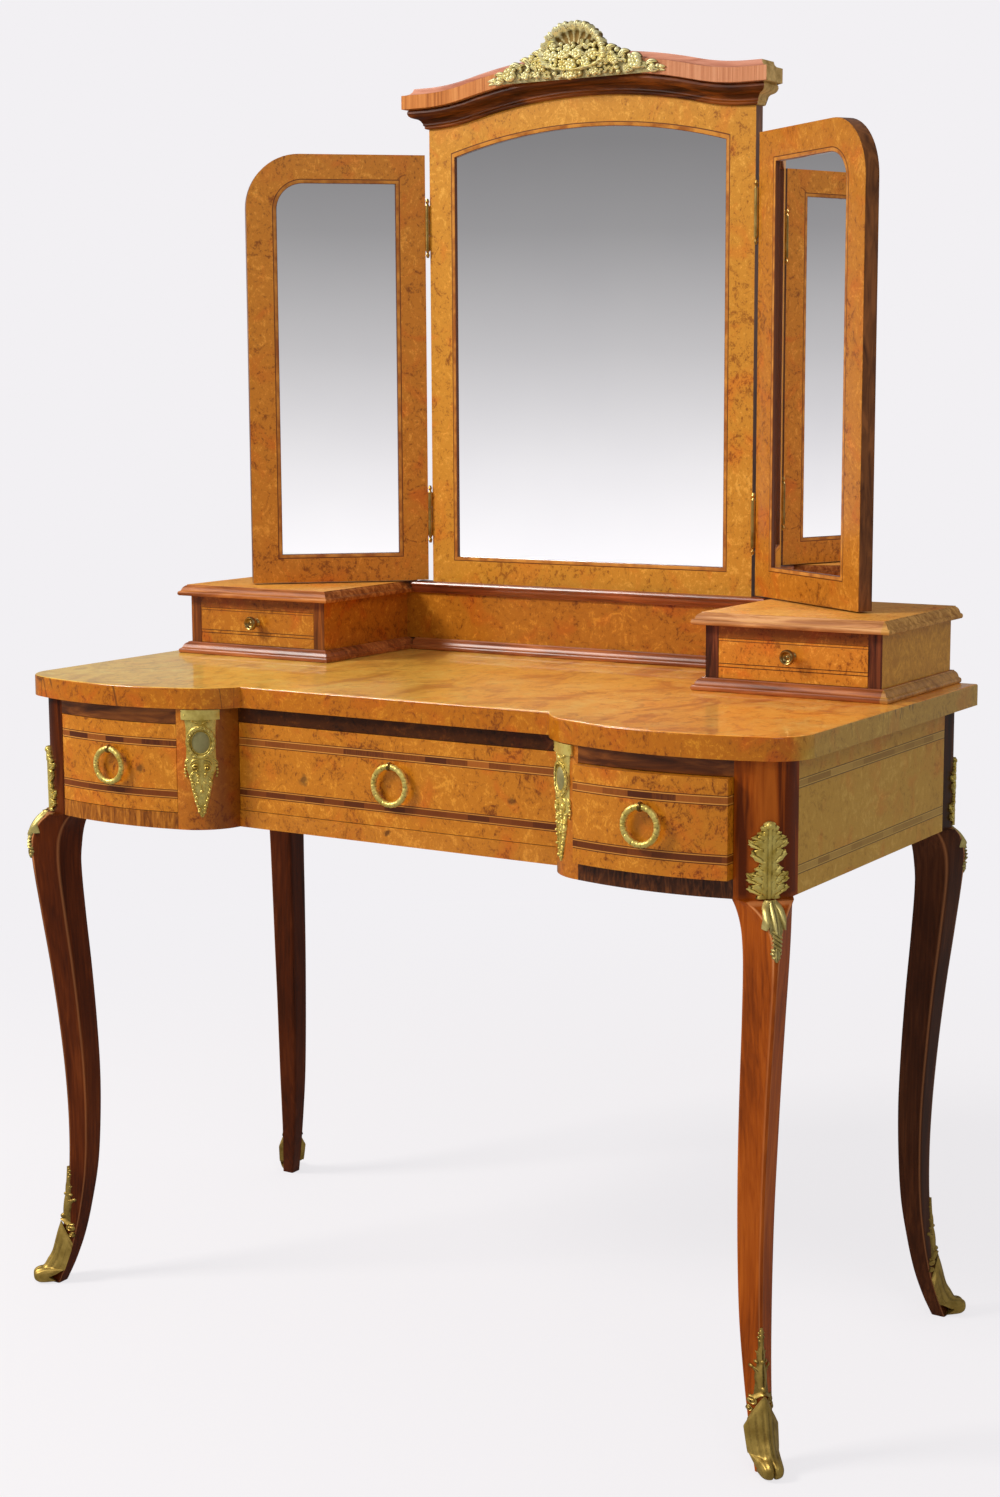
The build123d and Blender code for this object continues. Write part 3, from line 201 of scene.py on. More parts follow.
class Finish(Nodes):
    """A finish under construction, with what wood, brass and glass need."""

    def __init__(self, name):
        """Starts a material and measures it by the object's own coordinates."""
        super().__init__(bpy.data.materials.new(name))
        self.place = self.add("ShaderNodeTexCoord").outputs["Object"]

    def stretched(self, scale, turn=(0.0, 0.0, 0.0)):
        """Object coordinates in metres, scaled along each axis and turned."""
        new = self.add("ShaderNodeMapping")
        self.put(new.inputs["Vector"], self.place)
        new.inputs["Scale"].default_value = scale
        new.inputs["Rotation"].default_value = turn
        return new.outputs["Vector"]

    def noise(self, scale, detail=3.0, rough=0.5, bend=0.0, place=None):
        """Cloudy noise from 0 to 1; the scale counts its lumps in a metre."""
        new = self.add("ShaderNodeTexNoise")
        self.put(new.inputs["Vector"], place or self.place)
        new.inputs["Scale"].default_value = scale
        new.inputs["Detail"].default_value = detail
        new.inputs["Roughness"].default_value = rough
        new.inputs["Distortion"].default_value = bend
        return new.outputs["Fac"]

    def cells(self, scale, place=None, feature="F1"):
        """Distance to the middle, or to the edge, of the cell that a point lies in."""
        new = self.add("ShaderNodeTexVoronoi", feature=feature)
        self.put(new.inputs["Vector"], place or self.place)
        new.inputs["Scale"].default_value = scale
        return new.outputs["Distance"]

    def span(self, value, low, high, to_low=0.0, to_high=1.0):
        """A value carried from one range to another, held at its ends."""
        new = self.add("ShaderNodeMapRange")
        for key, number in (("Value", value), ("From Min", low), ("From Max", high),
                            ("To Min", to_low), ("To Max", to_high)):
            self.put(new.inputs[key], number)
        return new.outputs["Result"]

    def mixed(self, a, share_a, b, share_b):
        """Two values added, each times its share."""
        return self.sum("ADD", self.sum("MULTIPLY", a, share_a), self.sum("MULTIPLY", b, share_b))

    def blend(self, share, a, b, kind="MIX"):
        """The first colour where the share is 0, the second where it is 1."""
        new = self.add("ShaderNodeMix", data_type="RGBA", blend_type=kind)
        self.put(new.inputs["Factor"], share)
        self.put(new.inputs["A"], rgb(a))
        self.put(new.inputs["B"], rgb(b))
        return new.outputs["Result"]

    def shades(self, value, low, high, *colours):
        """Colours set evenly from a low value to a high one."""
        return self.ramp(value, *zip(np.linspace(low, high, len(colours)), colours))

    def axis(self, name):
        """One coordinate of a point, in metres."""
        new = self.add("ShaderNodeSeparateXYZ")
        self.put(new.inputs["Vector"], self.place)
        return new.outputs[name]

    def band(self, value, low, high, soft=0.0002):
        """1 between two heights, 0 outside, with a soft edge."""
        rise = self.span(value, low - soft, low + soft)
        fall = self.span(value, high - soft, high + soft, 1.0, 0.0)
        return self.sum("MULTIPLY", rise, fall)

    def tone(self):
        """The tone that a piece's shape gives to each of its points."""
        return self.add("ShaderNodeAttribute", attribute_name="tone").outputs["Fac"]

    def polished(self, colour, height, rough=0.34, coat=0.35, coat_rough=0.12, specular=0.3, strength=0.05,
                 deep=0.0005):
        """Wood under polish: a clear coat over a low gloss, its grain just felt."""
        return self.done(colour, rough, 0.0, coat, coat_rough, specular, height, strength, deep)

    def done(self, colour, rough, metal=0.0, coat=0.0, coat_rough=0.05, specular=0.5, height=None,
             strength=0.2, deep=0.0005):
        """The shader itself, with a bump from a height where one is given."""
        shader = self.add("ShaderNodeBsdfPrincipled")
        self.put(shader.inputs["Base Color"], rgb(colour))
        self.put(shader.inputs["Roughness"], rough)
        shader.inputs["Metallic"].default_value = metal
        shader.inputs["Coat Weight"].default_value = coat
        shader.inputs["Coat Roughness"].default_value = coat_rough
        shader.inputs["Specular IOR Level"].default_value = specular
        if height is not None:
            bump = self.add("ShaderNodeBump")
            bump.inputs["Strength"].default_value = strength
            bump.inputs["Distance"].default_value = deep
            self.put(bump.inputs["Height"], height)
            self.put(shader.inputs["Normal"], bump.outputs["Normal"])
        self.show("ShaderNodeOutputMaterial", shader.outputs["BSDF"])
        return self.owner


def rgb(colour):
    """A colour written from 0 to 255, as a screen shows it, in the shader's linear scale."""
    if colour is None or isinstance(colour, bpy.types.NodeSocket):
        return colour
    c = np.asarray(colour[:3], float) / 255
    linear = np.where(c <= 0.04045, c / 12.92, ((c + 0.055) / 1.055) ** 2.4)
    return (*linear, 1.0)


def burr(f, light, middle, dark, scale=1.0, specks=0.6):
    """Burr veneer: curls and slanting ripples over slow drifts, warmer in patches, with a few dark eyes."""
    drift = f.noise(11 * scale, 3, 0.55, 0.8)
    curl = f.noise(48 * scale, 4, 0.58, 2.4)
    ripple = f.noise(190 * scale, 3, 0.6, 2.6, f.stretched((1.0, 1.0, 0.55), (0.0, 0.55, 0.0)))
    fine = f.noise(380 * scale, 2, 0.6, 0.8)
    mixed = f.mixed(curl, 0.50, ripple, 0.28)
    mixed = f.sum("ADD", mixed, f.sum("MULTIPLY", fine, 0.22))
    mixed = f.sum("ADD", mixed, f.span(drift, 0.3, 0.7, -0.06, 0.05))
    colour = f.ramp(mixed, (0.36, dark), (0.46, middle), (0.53, middle), (0.62, light))
    warm = f.span(f.noise(21 * scale, 3, 0.5, 1.0), 0.52, 0.72, 0.0, 0.4)
    colour = f.blend(warm, colour, (204, 98, 24), "SOFT_LIGHT")
    eyes = f.cells(150 * scale)
    where = f.span(f.noise(26 * scale, 2, 0.5), 0.54, 0.66)
    spots = f.sum("MULTIPLY", f.span(eyes, 0.06, 0.30, specks, 0.0), where)
    return f.blend(spots, colour, (120, 62, 14)), mixed


BOX_SIDE = 0.4830


def strings(f, colour, height, lines):
    """Thin straight inlaid lines: each (low, high, colour) paints a level strip between two heights."""
    for low, high, shade in lines:
        colour = f.blend(f.band(height, low, high), colour, shade)
    return colour


STRING = 0.001


def crossband(f, colour, height, low, high, shades):
    """A crossbanded strip in 28 mm lengths of differing brown, a pale and a dark string on each side."""
    inlay, pale, dark = shades
    along = f.sum("ADD", f.axis("X"), f.axis("Y"))
    count = f.sum("FLOOR", f.sum("MULTIPLY", along, 36.0))
    lengths = f.add("ShaderNodeTexWhiteNoise", noise_dimensions="1D")
    f.put(lengths.inputs["W"], f.sum("ADD", count, low * 1000))
    grain = f.noise(90, 3, 0.6, 0.3, f.stretched((5.0, 5.0, 0.7)))
    mixed = f.mixed(lengths.outputs["Value"], 0.8, grain, 0.3)
    colour = f.blend(f.band(height, low, high), colour, f.ramp(mixed, *inlay))
    return strings(f, colour, height, (
        (low, low + STRING, pale), (high - STRING, high, pale),
        (low - STRING, low, dark), (high, high + STRING, dark),
    ))


DARK_INLAY = (((0.3, (92, 40, 4)), (0.8, (122, 58, 8))), (204, 136, 54), (84, 38, 6))
MIXED_INLAY = (((0.25, (84, 36, 8)), (0.4, (124, 62, 12)), (0.9, (168, 94, 26))), (214, 146, 62), (92, 44, 8))
# the olive inlay colours are a painted shade for the right side panel
OLIVE_SHADE_INLAY = (((0.2, (152, 112, 40)), (0.9, (182, 142, 62))), (196, 156, 72), (108, 80, 28))


def plug(f, colour, x, z, radius, shade):
    """An old filled hole in a front: a soft dark round spot at a width and a height."""
    across = f.sum("SUBTRACT", f.axis("X"), x)
    up = f.sum("SUBTRACT", f.axis("Z"), z)
    away = f.sum("SQRT", f.mixed(across, across, up, up))
    ragged = f.sum("ADD", away, f.span(f.noise(160, 2, 0.6), 0.3, 0.7, -0.002, 0.002))
    return f.blend(f.span(ragged, radius * 0.4, radius, 0.75, 0.0), colour, shade)


def polished_burr(name, tones, bands=(), lines=(), plugs=(), coat=0.35, **figure):
    """Burr veneer under french polish, with crossbanded strips, inlaid lines and old plugs where given."""
    f = Finish(name)
    colour, height = burr(f, *tones, **figure)
    z = f.axis("Z")
    for x, up, radius, shade in plugs:
        colour = plug(f, colour, x, up, radius, shade)
    for low, high, inlay in bands:
        colour = crossband(f, colour, z, low, high, inlay)
    colour = strings(f, colour, z, lines)
    return f.polished(colour, height, coat=coat, strength=0.06, deep=0.0006)


def top_burr(name):
    """The table top: burr under a deep polish, paled towards the left by a painted reflection of the window,
    redder and darker round its edge, with an olive painted shade on its right end.
    """
    f = Finish(name)
    face, height = burr(f, (255, 200, 104), (250, 172, 66), (222, 132, 36), scale=0.6, specks=0.2)
    streak = f.noise(20, 4, 0.62, 1.2, f.stretched((0.8, 0.5, 1.0)))
    face = f.blend(f.span(streak, 0.52, 0.66, 0.0, 0.85), face, (204, 104, 24))
    thin = f.noise(70, 4, 0.62, 1.6, f.stretched((0.6, 0.4, 1.0)))
    face = f.blend(f.span(thin, 0.54, 0.68, 0.0, 0.6), face, (178, 92, 24))
    face = f.blend(f.span(streak, 0.44, 0.34, 0.0, 0.5), face, (255, 206, 110))
    # painted reflection: the top's colour is lifted towards the left, standing in for the window reflected in
    # it
    painted_window_sheen = f.span(f.axis("X"), 0.4, -0.5, 0.0, 0.65)
    face = f.blend(painted_window_sheen, face, (80, 160, 84), "ADD")
    edge, _ = burr(f, (208, 134, 24), (182, 104, 4), (128, 62, 0))
    # painted shade: the right end of the top takes an olive burr, standing in for the shade on that side
    side = f.span(f.axis("X"), 0.500, 0.511)
    edge = f.blend(side, edge, burr(f, (198, 158, 66), (180, 138, 48), (142, 102, 24))[0])
    cracks = f.cells(60, f.stretched((0.3, 1.0, 0.12)), "DISTANCE_TO_EDGE")
    split = f.sum("MULTIPLY", f.span(cracks, 0.0, 0.03, 0.8, 0.0), f.span(f.noise(16, 2, 0.5), 0.58, 0.62))
    edge = f.blend(split, edge, (70, 34, 8))
    colour = f.blend(f.span(f.axis("Z"), 0.7592, 0.7596), edge, face)
    return f.polished(colour, height, 0.3, 0.6, 0.07, strength=0.03)


def mahogany(name, light, middle, dark, coat, end=None):
    """Polished mahogany: long streaks across the table, a slow ribbon figure, pores; past an end an olive
    colour, a painted shade on the right end.
    """
    f = Finish(name)
    place = f.stretched((0.06, 1, 1))
    streaks = f.noise(150, 5, 0.62, 0.6, place)
    slow = f.noise(16, 2, 0.5, 0.8, f.stretched((0.25, 1, 1)))
    mixed = f.mixed(streaks, 0.6, slow, 0.4)
    colour = f.shades(mixed, 0.38, 0.62, dark, middle, light)
    pores = f.span(f.noise(800, 2, 0.6, 0.0, place), 0.60, 0.70)
    colour = f.blend(f.sum("MULTIPLY", pores, 0.4), colour, dark)
    if end is not None:
        # painted shade: past the end the mahogany turns olive, standing in for the shade on the right-facing
        # end
        olive = f.shades(mixed, 0.38, 0.62, (150, 100, 42), (206, 152, 78))
        colour = f.blend(f.span(f.axis("X"), end, end + 0.0006), colour, olive)
    return f.polished(colour, mixed, 0.36, coat, 0.2, strength=0.06)


def leg_wood(name, light, middle, dark):
    """A leg: smooth fine grain, arrises painted paler where the tone is set, partly as rubbed wear and partly
    as a painted highlight, a banded figure on its post.
    """
    f = Finish(name)
    fine = f.noise(260, 4, 0.6, 0.4, f.stretched((1, 1, 0.05)))
    slow = f.noise(20, 2, 0.5, 0.6, f.stretched((1, 1, 0.25)))
    mixed = f.mixed(fine, 0.5, slow, 0.5)
    colour = f.shades(mixed, 0.3, 0.7, dark, middle, light)
    bands = f.noise(70, 3, 0.55, 0.5, f.stretched((1, 1, 0.08)))
    post = f.shades(bands, 0.42, 0.68, dark, middle, light)
    colour = f.blend(f.span(f.axis("Z"), 0.590, 0.600), colour, post)
    # paler arrises: partly rubbed wear, partly a painted highlight
    colour = f.blend(f.span(f.tone(), 0.0, 1.0, 0.0, 0.8), colour, (226, 150, 92))
    return f.polished(colour, fine, 0.38, 0.14, 0.15, 0.12, 0.04)


def plain_wood(name, along, light=(178, 140, 96), dark=(128, 92, 56), rough=0.6):
    """Unpolished boards: straight lines of grain along one axis, with slow drifting rings."""
    f = Finish(name)
    lines = f.noise(240, 4, 0.6, 0.2, f.stretched(tuple(0.02 if axis == along else 1 for axis in "XYZ")))
    rings = f.noise(24, 2, 0.5, 0.4, f.stretched(tuple(0.08 if axis == along else 1 for axis in "XYZ")))
    mixed = f.mixed(lines, 0.5, rings, 0.5)
    colour = f.shades(mixed, 0.32, 0.68, dark, light)
    return f.done(colour, rough, specular=0.3, height=lines, strength=0.1)


def gilt(name, bright, worn, deep, rough=0.40, metal=0.7):
    """Cast gilt brass under a thin skin of age: pale where it stands proud, olive brown in the hollows.

    Where the tone is above 1 the face is a plain boss of dull grey olive.
    """
    f = Finish(name)
    hollow = f.tone()
    grain = f.noise(420, 3, 0.6)
    wear = f.noise(60, 3, 0.6)
    colour = f.blend(f.span(wear, 0.42, 0.72), bright, worn)
    ragged = f.sum("ADD", hollow, f.span(grain, 0.3, 0.7, -0.12, 0.12))
    colour = f.blend(f.span(ragged, 0.3, 0.9), colour, deep)
    is_boss = f.span(hollow, 1.45, 1.55)
    colour = f.blend(is_boss, colour, f.shades(wear, 0.3, 0.7, (158, 150, 100), (192, 184, 130)))
    shine = f.span(hollow, 0.0, 1.0, rough, rough + 0.2)
    return f.done(colour, shine, metal, height=grain, strength=0.18, deep=0.0004)


def framed_burr(name, tones):
    """Mirror frame veneer: the tone of a point is its distance from the glass in mm.

    A dark sight edge, a crossbanded strip, a thin dark line, then burr; straight grain on the outer edges.
    """
    f = Finish(name)
    burl, height = burr(f, *tones)
    inset = f.tone()
    band = f.ramp(f.noise(60, 2, 0.5), (0.35, (158, 90, 26)), (0.65, (206, 138, 52)))
    colour = f.blend(f.span(inset, 4.4, 4.6), band, burl)
    colour = f.blend(f.band(inset, 4.6, 5.7, 0.25), colour, (92, 44, 14))
    colour = f.blend(f.span(inset, 0.9, 0.5), colour, (104, 54, 22))
    grain = f.noise(120, 4, 0.6, 0.8, f.stretched((1, 1, 0.16), (0.3, 0.5, 0)))
    walnut = f.shades(grain, 0.3, 0.65, (80, 42, 14), (140, 84, 38))
    colour = f.blend(f.span(inset, 38.6, 39.4), colour, walnut)
    return f.polished(colour, height, deep=0.0006)


def capped_burr(name):
    """Slabs of the small drawer boxes: burr on the flat top, where the tone is 1, mahogany on the edge."""
    f = Finish(name)
    burl, height = burr(f, (238, 178, 88), (220, 152, 62), (172, 106, 32))
    streaks = f.noise(140, 4, 0.6, 0.6, f.stretched((0.08, 1, 1)))
    edge = f.shades(streaks, 0.36, 0.64, (128, 66, 22), (166, 94, 40), (198, 126, 62))
    pale = f.shades(streaks, 0.36, 0.64, (150, 92, 48), (190, 128, 76), (222, 164, 106))
    edge = f.blend(f.span(f.axis("X"), -0.05, 0.05), edge, pale)
    # painted shade: past the right box's side the slab edge turns olive, standing in for the shade on that
    # side
    olive = f.shades(streaks, 0.36, 0.64, (158, 106, 44), (214, 160, 84))
    edge = f.blend(f.span(f.axis("X"), BOX_SIDE, BOX_SIDE + 0.0006), edge, olive)
    colour = f.blend(f.span(f.tone(), 0.45, 0.55), edge, burl)
    return f.polished(colour, height, 0.5, 0.05, 0.25, 0.18, 0.04, 0.0006)


def cornice_wood(name):
    """The cornice: dark red mouldings where the tone is 0, striped veneer on the fascia, a pale pinkish red
    cap that is partly a painted highlight, and an olive painted shade on the right end's return.
    """
    f = Finish(name)
    tone = f.tone()
    streaks = f.noise(90, 4, 0.6, 0.6, f.stretched((0.10, 1, 1)))
    dark = f.shades(streaks, 0.36, 0.64, (56, 20, 0), (92, 42, 6), (140, 72, 18))
    fine = f.noise(300, 4, 0.65, 0.2, f.stretched((1.6, 0.3, 0.03)))
    slow = f.noise(20, 2, 0.5, 0.2, f.stretched((1.0, 0.3, 0.05)))
    mixed = f.mixed(fine, 0.65, slow, 0.35)
    pink = f.shades(mixed, 0.36, 0.64, (176, 108, 72), (200, 134, 94), (216, 156, 118))
    orange = f.shades(mixed, 0.36, 0.64, (156, 86, 30), (196, 120, 54), (216, 146, 78))
    stripes = f.blend(f.span(f.axis("X"), -0.2, 0.08), orange, pink)
    # the cap is pinkish red wood lightened by a painted highlight
    cap_colour_and_highlight = f.shades(streaks, 0.36, 0.64, (166, 98, 74), (214, 150, 124))
    # painted shade: the right end's return, tone 4, turns olive, standing in for the shade on that side
    olive = f.shades(streaks, 0.36, 0.64, (174, 138, 74), (224, 188, 118))
    colour = f.blend(f.span(tone, 0.45, 0.55), dark, stripes)
    colour = f.blend(f.span(tone, 1.45, 1.55), colour, cap_colour_and_highlight)
    end = f.sum("MULTIPLY", f.span(tone, 3.0, 3.1), f.span(f.axis("Y"), 0.2590, 0.2597, 1.0, 0.0))
    colour = f.blend(end, colour, olive)
    return f.polished(colour, mixed, 0.45, 0.05, 0.25, 0.16, 0.04)


def stile_wood(name):
    """The rounded stiles: burr, with painted shade darkening them where they turn into the recess."""
    f = Finish(name)
    colour, height = burr(f, (210, 132, 40), (182, 104, 18), (128, 62, 6))
    # painted shade: the faces turning into the recess are darkened as if shadowed there
    turned = f.span(f.sum("ABSOLUTE", f.axis("X")), 0.240, 0.226, 0.0, 0.65)
    colour = f.blend(turned, colour, (92, 36, 0))
    return f.polished(colour, height)


def box_wood(name):
    """A drawer box's carcass: dark stiles and a paler rail on its front, the rail's burr darkened as painted
    shadow under the slab; burr on its sides, with an olive painted shade on the right box's outer side.
    """
    f = Finish(name)
    burl, height = burr(f, (208, 130, 40), (176, 98, 20), (120, 58, 6))
    # painted shade: the right box's outer side takes an olive burr, standing in for the shade on that side
    outer = f.shades(height, 0.38, 0.63, (180, 122, 26), (222, 162, 52))
    streaks = f.noise(130, 4, 0.6, 0.6, f.stretched((1, 1, 0.06)))
    plum = f.shades(streaks, 0.38, 0.62, (52, 22, 14), (88, 40, 24), (128, 66, 36))
    brown = f.shades(streaks, 0.38, 0.62, (84, 40, 10), (120, 62, 18), (154, 86, 30))
    # painted shadow: the rail under the slab gets a darker burr, standing in for the slab's shadow
    rail_painted_shadow, _ = burr(f, (172, 104, 36), (140, 78, 20), (96, 46, 6))
    x = f.axis("X")
    within = f.band(f.sum("ABSOLUTE", x), 0.2832, 0.4638, 0.0002)
    front = f.span(f.axis("Y"), 0.0527, 0.0530, 1.0, 0.0)
    face = f.blend(within, f.blend(f.span(x, -0.01, 0.01), brown, plum), rail_painted_shadow)
    colour = f.blend(f.span(x, 0.479, 0.4795), burl, outer)
    colour = f.blend(front, colour, face)
    return f.polished(colour, height, 0.34, 0.3, 0.15, 0.25)


def pedestal_rail_wood(name):
    """The pedestals' rails: a dark frieze above; below, cross grained burr, painted darker on the right as
    the shadow under the proud right drawer.
    """
    f = Finish(name)
    streaks = f.noise(110, 4, 0.6, 0.6, f.stretched((0.12, 1, 1)))
    dark = f.shades(streaks, 0.36, 0.64, (74, 34, 6), (102, 52, 12), (130, 72, 22))
    cross = f.noise(110, 4, 0.62, 1.6, f.stretched((1.4, 1, 0.3), (0, 0.35, 0)))
    pale = f.shades(cross, 0.34, 0.66, (112, 56, 4), (158, 90, 14), (194, 122, 34))
    # painted shadow: the right lower rail is darkened as the shadow under the proud right drawer
    right_rail_painted_shadow = f.shades(cross, 0.34, 0.66, (44, 18, 4), (78, 38, 10), (114, 62, 22))
    low = f.blend(f.span(f.axis("X"), -0.01, 0.01), pale, right_rail_painted_shadow)
    colour = f.blend(f.span(f.axis("Z"), 0.69, 0.70), low, dark)
    return f.polished(colour, streaks, 0.32, 0.4)


PLUGS = ((-0.1244, 0.6571, 0.0075, (96, 60, 20)), (0.155, 0.6581, 0.006, (80, 46, 14)),
         (-0.318, 0.6634, 0.007, (92, 56, 18)))
DRAWER_BANDS = ((0.6905, 0.6990, MIXED_INLAY), (0.6310, 0.6395, DARK_INLAY))
HIGH_SIDE_BAND, LOW_SIDE_BAND = (0.7025, 0.7105), (0.6150, 0.6230)
BOX_LINES = ((0.7870, 0.7880, (70, 34, 12)), (0.7908, 0.7918, (70, 34, 12)), (0.8165, 0.8173, (96, 50, 20)))
finish = {
    "top": top_burr("top_burr"),
    "front": polished_burr("drawer_burr", ((220, 146, 42), (192, 116, 18), (126, 62, 2)), DRAWER_BANDS,
                           plugs=PLUGS, specks=0.4),
    # painted shade: the right side panel's burr and inlays are olive, standing in for the shade on that side
    "side": polished_burr("side_burr", ((206, 162, 70), (190, 144, 50), (164, 118, 30)),
                          ((*HIGH_SIDE_BAND, OLIVE_SHADE_INLAY), (*LOW_SIDE_BAND, OLIVE_SHADE_INLAY)),
                          coat=0.25, scale=0.8, specks=0.2),
    "left_side": polished_burr("left_side_burr", ((206, 138, 46), (180, 110, 24), (126, 64, 6)),
                               ((*HIGH_SIDE_BAND, MIXED_INLAY), (*LOW_SIDE_BAND, DARK_INLAY))),
    "stile": stile_wood("stile_burr"),
    "left_box_front": polished_burr("left_small_burr", ((204, 140, 46), (176, 108, 22), (126, 66, 6)),
                                    lines=BOX_LINES),
    "right_box_front": polished_burr("right_small_burr", ((236, 164, 62), (208, 130, 36), (150, 80, 14)),
                                     lines=BOX_LINES),
    "gallery": polished_burr("gallery_burr", ((202, 132, 38), (172, 104, 20), (118, 60, 4))),
    "frame": framed_burr("mirror_burr", ((224, 162, 62), (200, 136, 38), (146, 84, 12))),
    "left_wing": framed_burr("left_wing_burr", ((230, 158, 56), (202, 128, 32), (142, 78, 10))),
    "right_wing": framed_burr("right_wing_burr", ((208, 142, 50), (182, 114, 28), (128, 68, 8))),
    "rails": pedestal_rail_wood("pedestal_rail_wood"),
    # painted shade: the centre frieze's burr is darkened to stand in for the shadow under the top's overhang
    "frieze": polished_burr("frieze_painted_shade", ((96, 48, 2), (68, 30, 0), (40, 14, 0)), coat=0.1),
    "low_rail": polished_burr("low_rail_burr", ((218, 144, 46), (190, 116, 24), (140, 74, 8)),
                              plugs=((-0.009, 0.607, 0.005, (70, 34, 8)),)),
    "moulding": mahogany("moulding_mahogany", (192, 116, 60), (154, 82, 38), (104, 50, 18), 0.2, BOX_SIDE),
    "slab": capped_burr("slab_wood"),
    "hood": mahogany("hood_mahogany", (186, 104, 64), (148, 72, 40), (92, 38, 18), 0.6),
    "box": box_wood("box_wood"),
    "cornice": cornice_wood("cornice_wood"),
    "board": plain_wood("pine_boards", "X"),
    "upright_board": plain_wood("upright_boards", "Z"),
    "lining": plain_wood("oak_lining", "Y", (196, 158, 104), (150, 112, 66), 0.5),
    "gilt": gilt("gilt_brass", (252, 230, 130), (212, 180, 74), (86, 62, 12)),
    "gilt_worn": gilt("worn_gilt", (194, 164, 84), (150, 120, 50), (74, 54, 14)),
    "gilt_pale": gilt("pale_gilt", (255, 250, 196), (252, 236, 156), (120, 92, 30), metal=0.5),
    "gilt_dull": gilt("dull_gilt", (218, 202, 128), (168, 146, 74), (80, 60, 18), metal=0.6),
    "aged": gilt("aged_brass", (176, 148, 92), (128, 98, 52), (60, 44, 22), 0.34, 1.0),
    "hinge": gilt("hinge_brass", (200, 170, 100), (150, 116, 58), (80, 60, 28), metal=1.0),
}
# painted light and shade: the front right leg is coloured lighter as if lit, the other legs darker as if in
# shade
for name, light, middle, dark in (
    ("front_right_leg", (184, 94, 20), (154, 70, 4), (96, 36, 0)),
    ("front_left_leg", (118, 54, 10), (84, 32, 0), (50, 14, 0)),
    ("back_left_leg", (100, 46, 8), (76, 28, 0), (44, 14, 0)),
    ("back_right_leg", (92, 48, 18), (64, 28, 6), (38, 14, 2)),
):
    finish[name] = leg_wood(name, light, middle, dark)


def steel():
    """Dull screw steel with fine turned lines."""
    f = Finish("dull_steel")
    grain = f.noise(900, 2, 0.6)
    grey = f.shades(grain, 0.3, 0.7, (96, 92, 88), (140, 136, 130))
    return f.done(grey, 0.42, 1.0, height=grain, strength=0.1, deep=0.0003)


def silvered():
    """Old silvered plate: clear in the middle, with a very faint uneven haze."""
    f = Finish("silvered_plate")
    haze = f.noise(7, 2, 0.5)
    return f.done(f.shades(haze, 0.2, 0.8, (248, 248, 249), (252, 252, 252)), 0.0, metal=1.0)


finish["steel"] = steel()
finish["mirror"] = silvered()

dress = {
    "table_top": "top", "left_side_panel": "left_side", "right_side_panel": "side", "back_panel": "board",
    "pedestal_rails": "rails", "centre_top_rail": "frieze", "centre_lower_rail": "low_rail",
    "left_stile": "stile", "right_stile": "stile", "partitions": "board", "drawer_runners": "lining",
    "gallery_plinths": "moulding", "left_box_carcass": "box", "right_box_carcass": "box",
    "gallery_slabs": "moulding", "gallery_panel": "gallery", "gallery_moulding": "moulding",
    "mirror_frame": "frame", "mirror_glass": "mirror", "mirror_backboard": "upright_board",
    "cornice": "cornice", "mirror_battens": "upright_board", "batten_screws": "steel",
    "fixed_hinge_leaves": "hinge", "hinge_pins": "hinge", "acanthus_mounts": "gilt", "knee_husks": "gilt",
    "sabots": "gilt", "plaques": "gilt", "crest": "gilt",
}
for name in ("front_left_leg", "front_right_leg", "back_left_leg", "back_right_leg"):
    dress[name] = name
for name in ("left", "centre", "right"):
    dress[f"{name}_drawer_front"] = "front"
    dress[f"{name}_drawer_box"] = "lining"
    dress[f"{name}_pull_eye"] = "aged"
    dress[f"{name}_pull_ring"] = "gilt"
for name in ("left", "right"):
    dress[f"{name}_small_drawer_front"] = f"{name}_box_front"
    dress[f"{name}_small_drawer_box"] = "lining"
    dress[f"{name}_knob"] = "aged"
    dress[f"{name}_wing_frame"] = f"{name}_wing"
    dress[f"{name}_wing_glass"] = "mirror"
    dress[f"{name}_wing_backboard"] = "upright_board"
    dress[f"{name}_wing_leaves"] = "hinge"
for name, kind in dress.items():
    node[name].data.materials.clear()
    node[name].data.materials.append(finish[kind])


# ================================================================ moulded, turned and cabriole pieces
def rim(x_low, x_high, y_front, y_back, profile):
    """A board moulded on its front and ends.

    Each (inset, height, tone) of the profile runs round three sides, that far inside the board's own edge
    and never past its middle.
    """
    inset, height, tone = np.asarray(profile, float).T
    half = (x_high - x_low) / 2
    inset = np.minimum(inset, half)
    y = np.minimum(y_front + inset, y_back)
    left = x_low + inset
    right = x_high - inset
    back = np.full_like(inset, y_back)
    points = np.stack([
        np.stack([left, back, height], -1), np.stack([left, y, height], -1),
        np.stack([right, y, height], -1), np.stack([right, back, height], -1),
    ], 1)
    return sheet(points, round_columns=True, tone=tone[:, None])


def straight(x_low, x_high, y_front, y_back, profile):
    """A strip moulded on its front only: the profile runs from end to end, its ends closed flat."""
    inset, height, tone = np.asarray(profile, float).T
    inset = np.minimum(inset, y_back - y_front)
    ring = np.stack([y_front + inset, height], -1)
    points = np.stack([np.column_stack([np.full(len(ring), x), ring]) for x in (x_low, x_high)])
    return capped(points, tone=tone[None, :])


INSIDE = 400.0


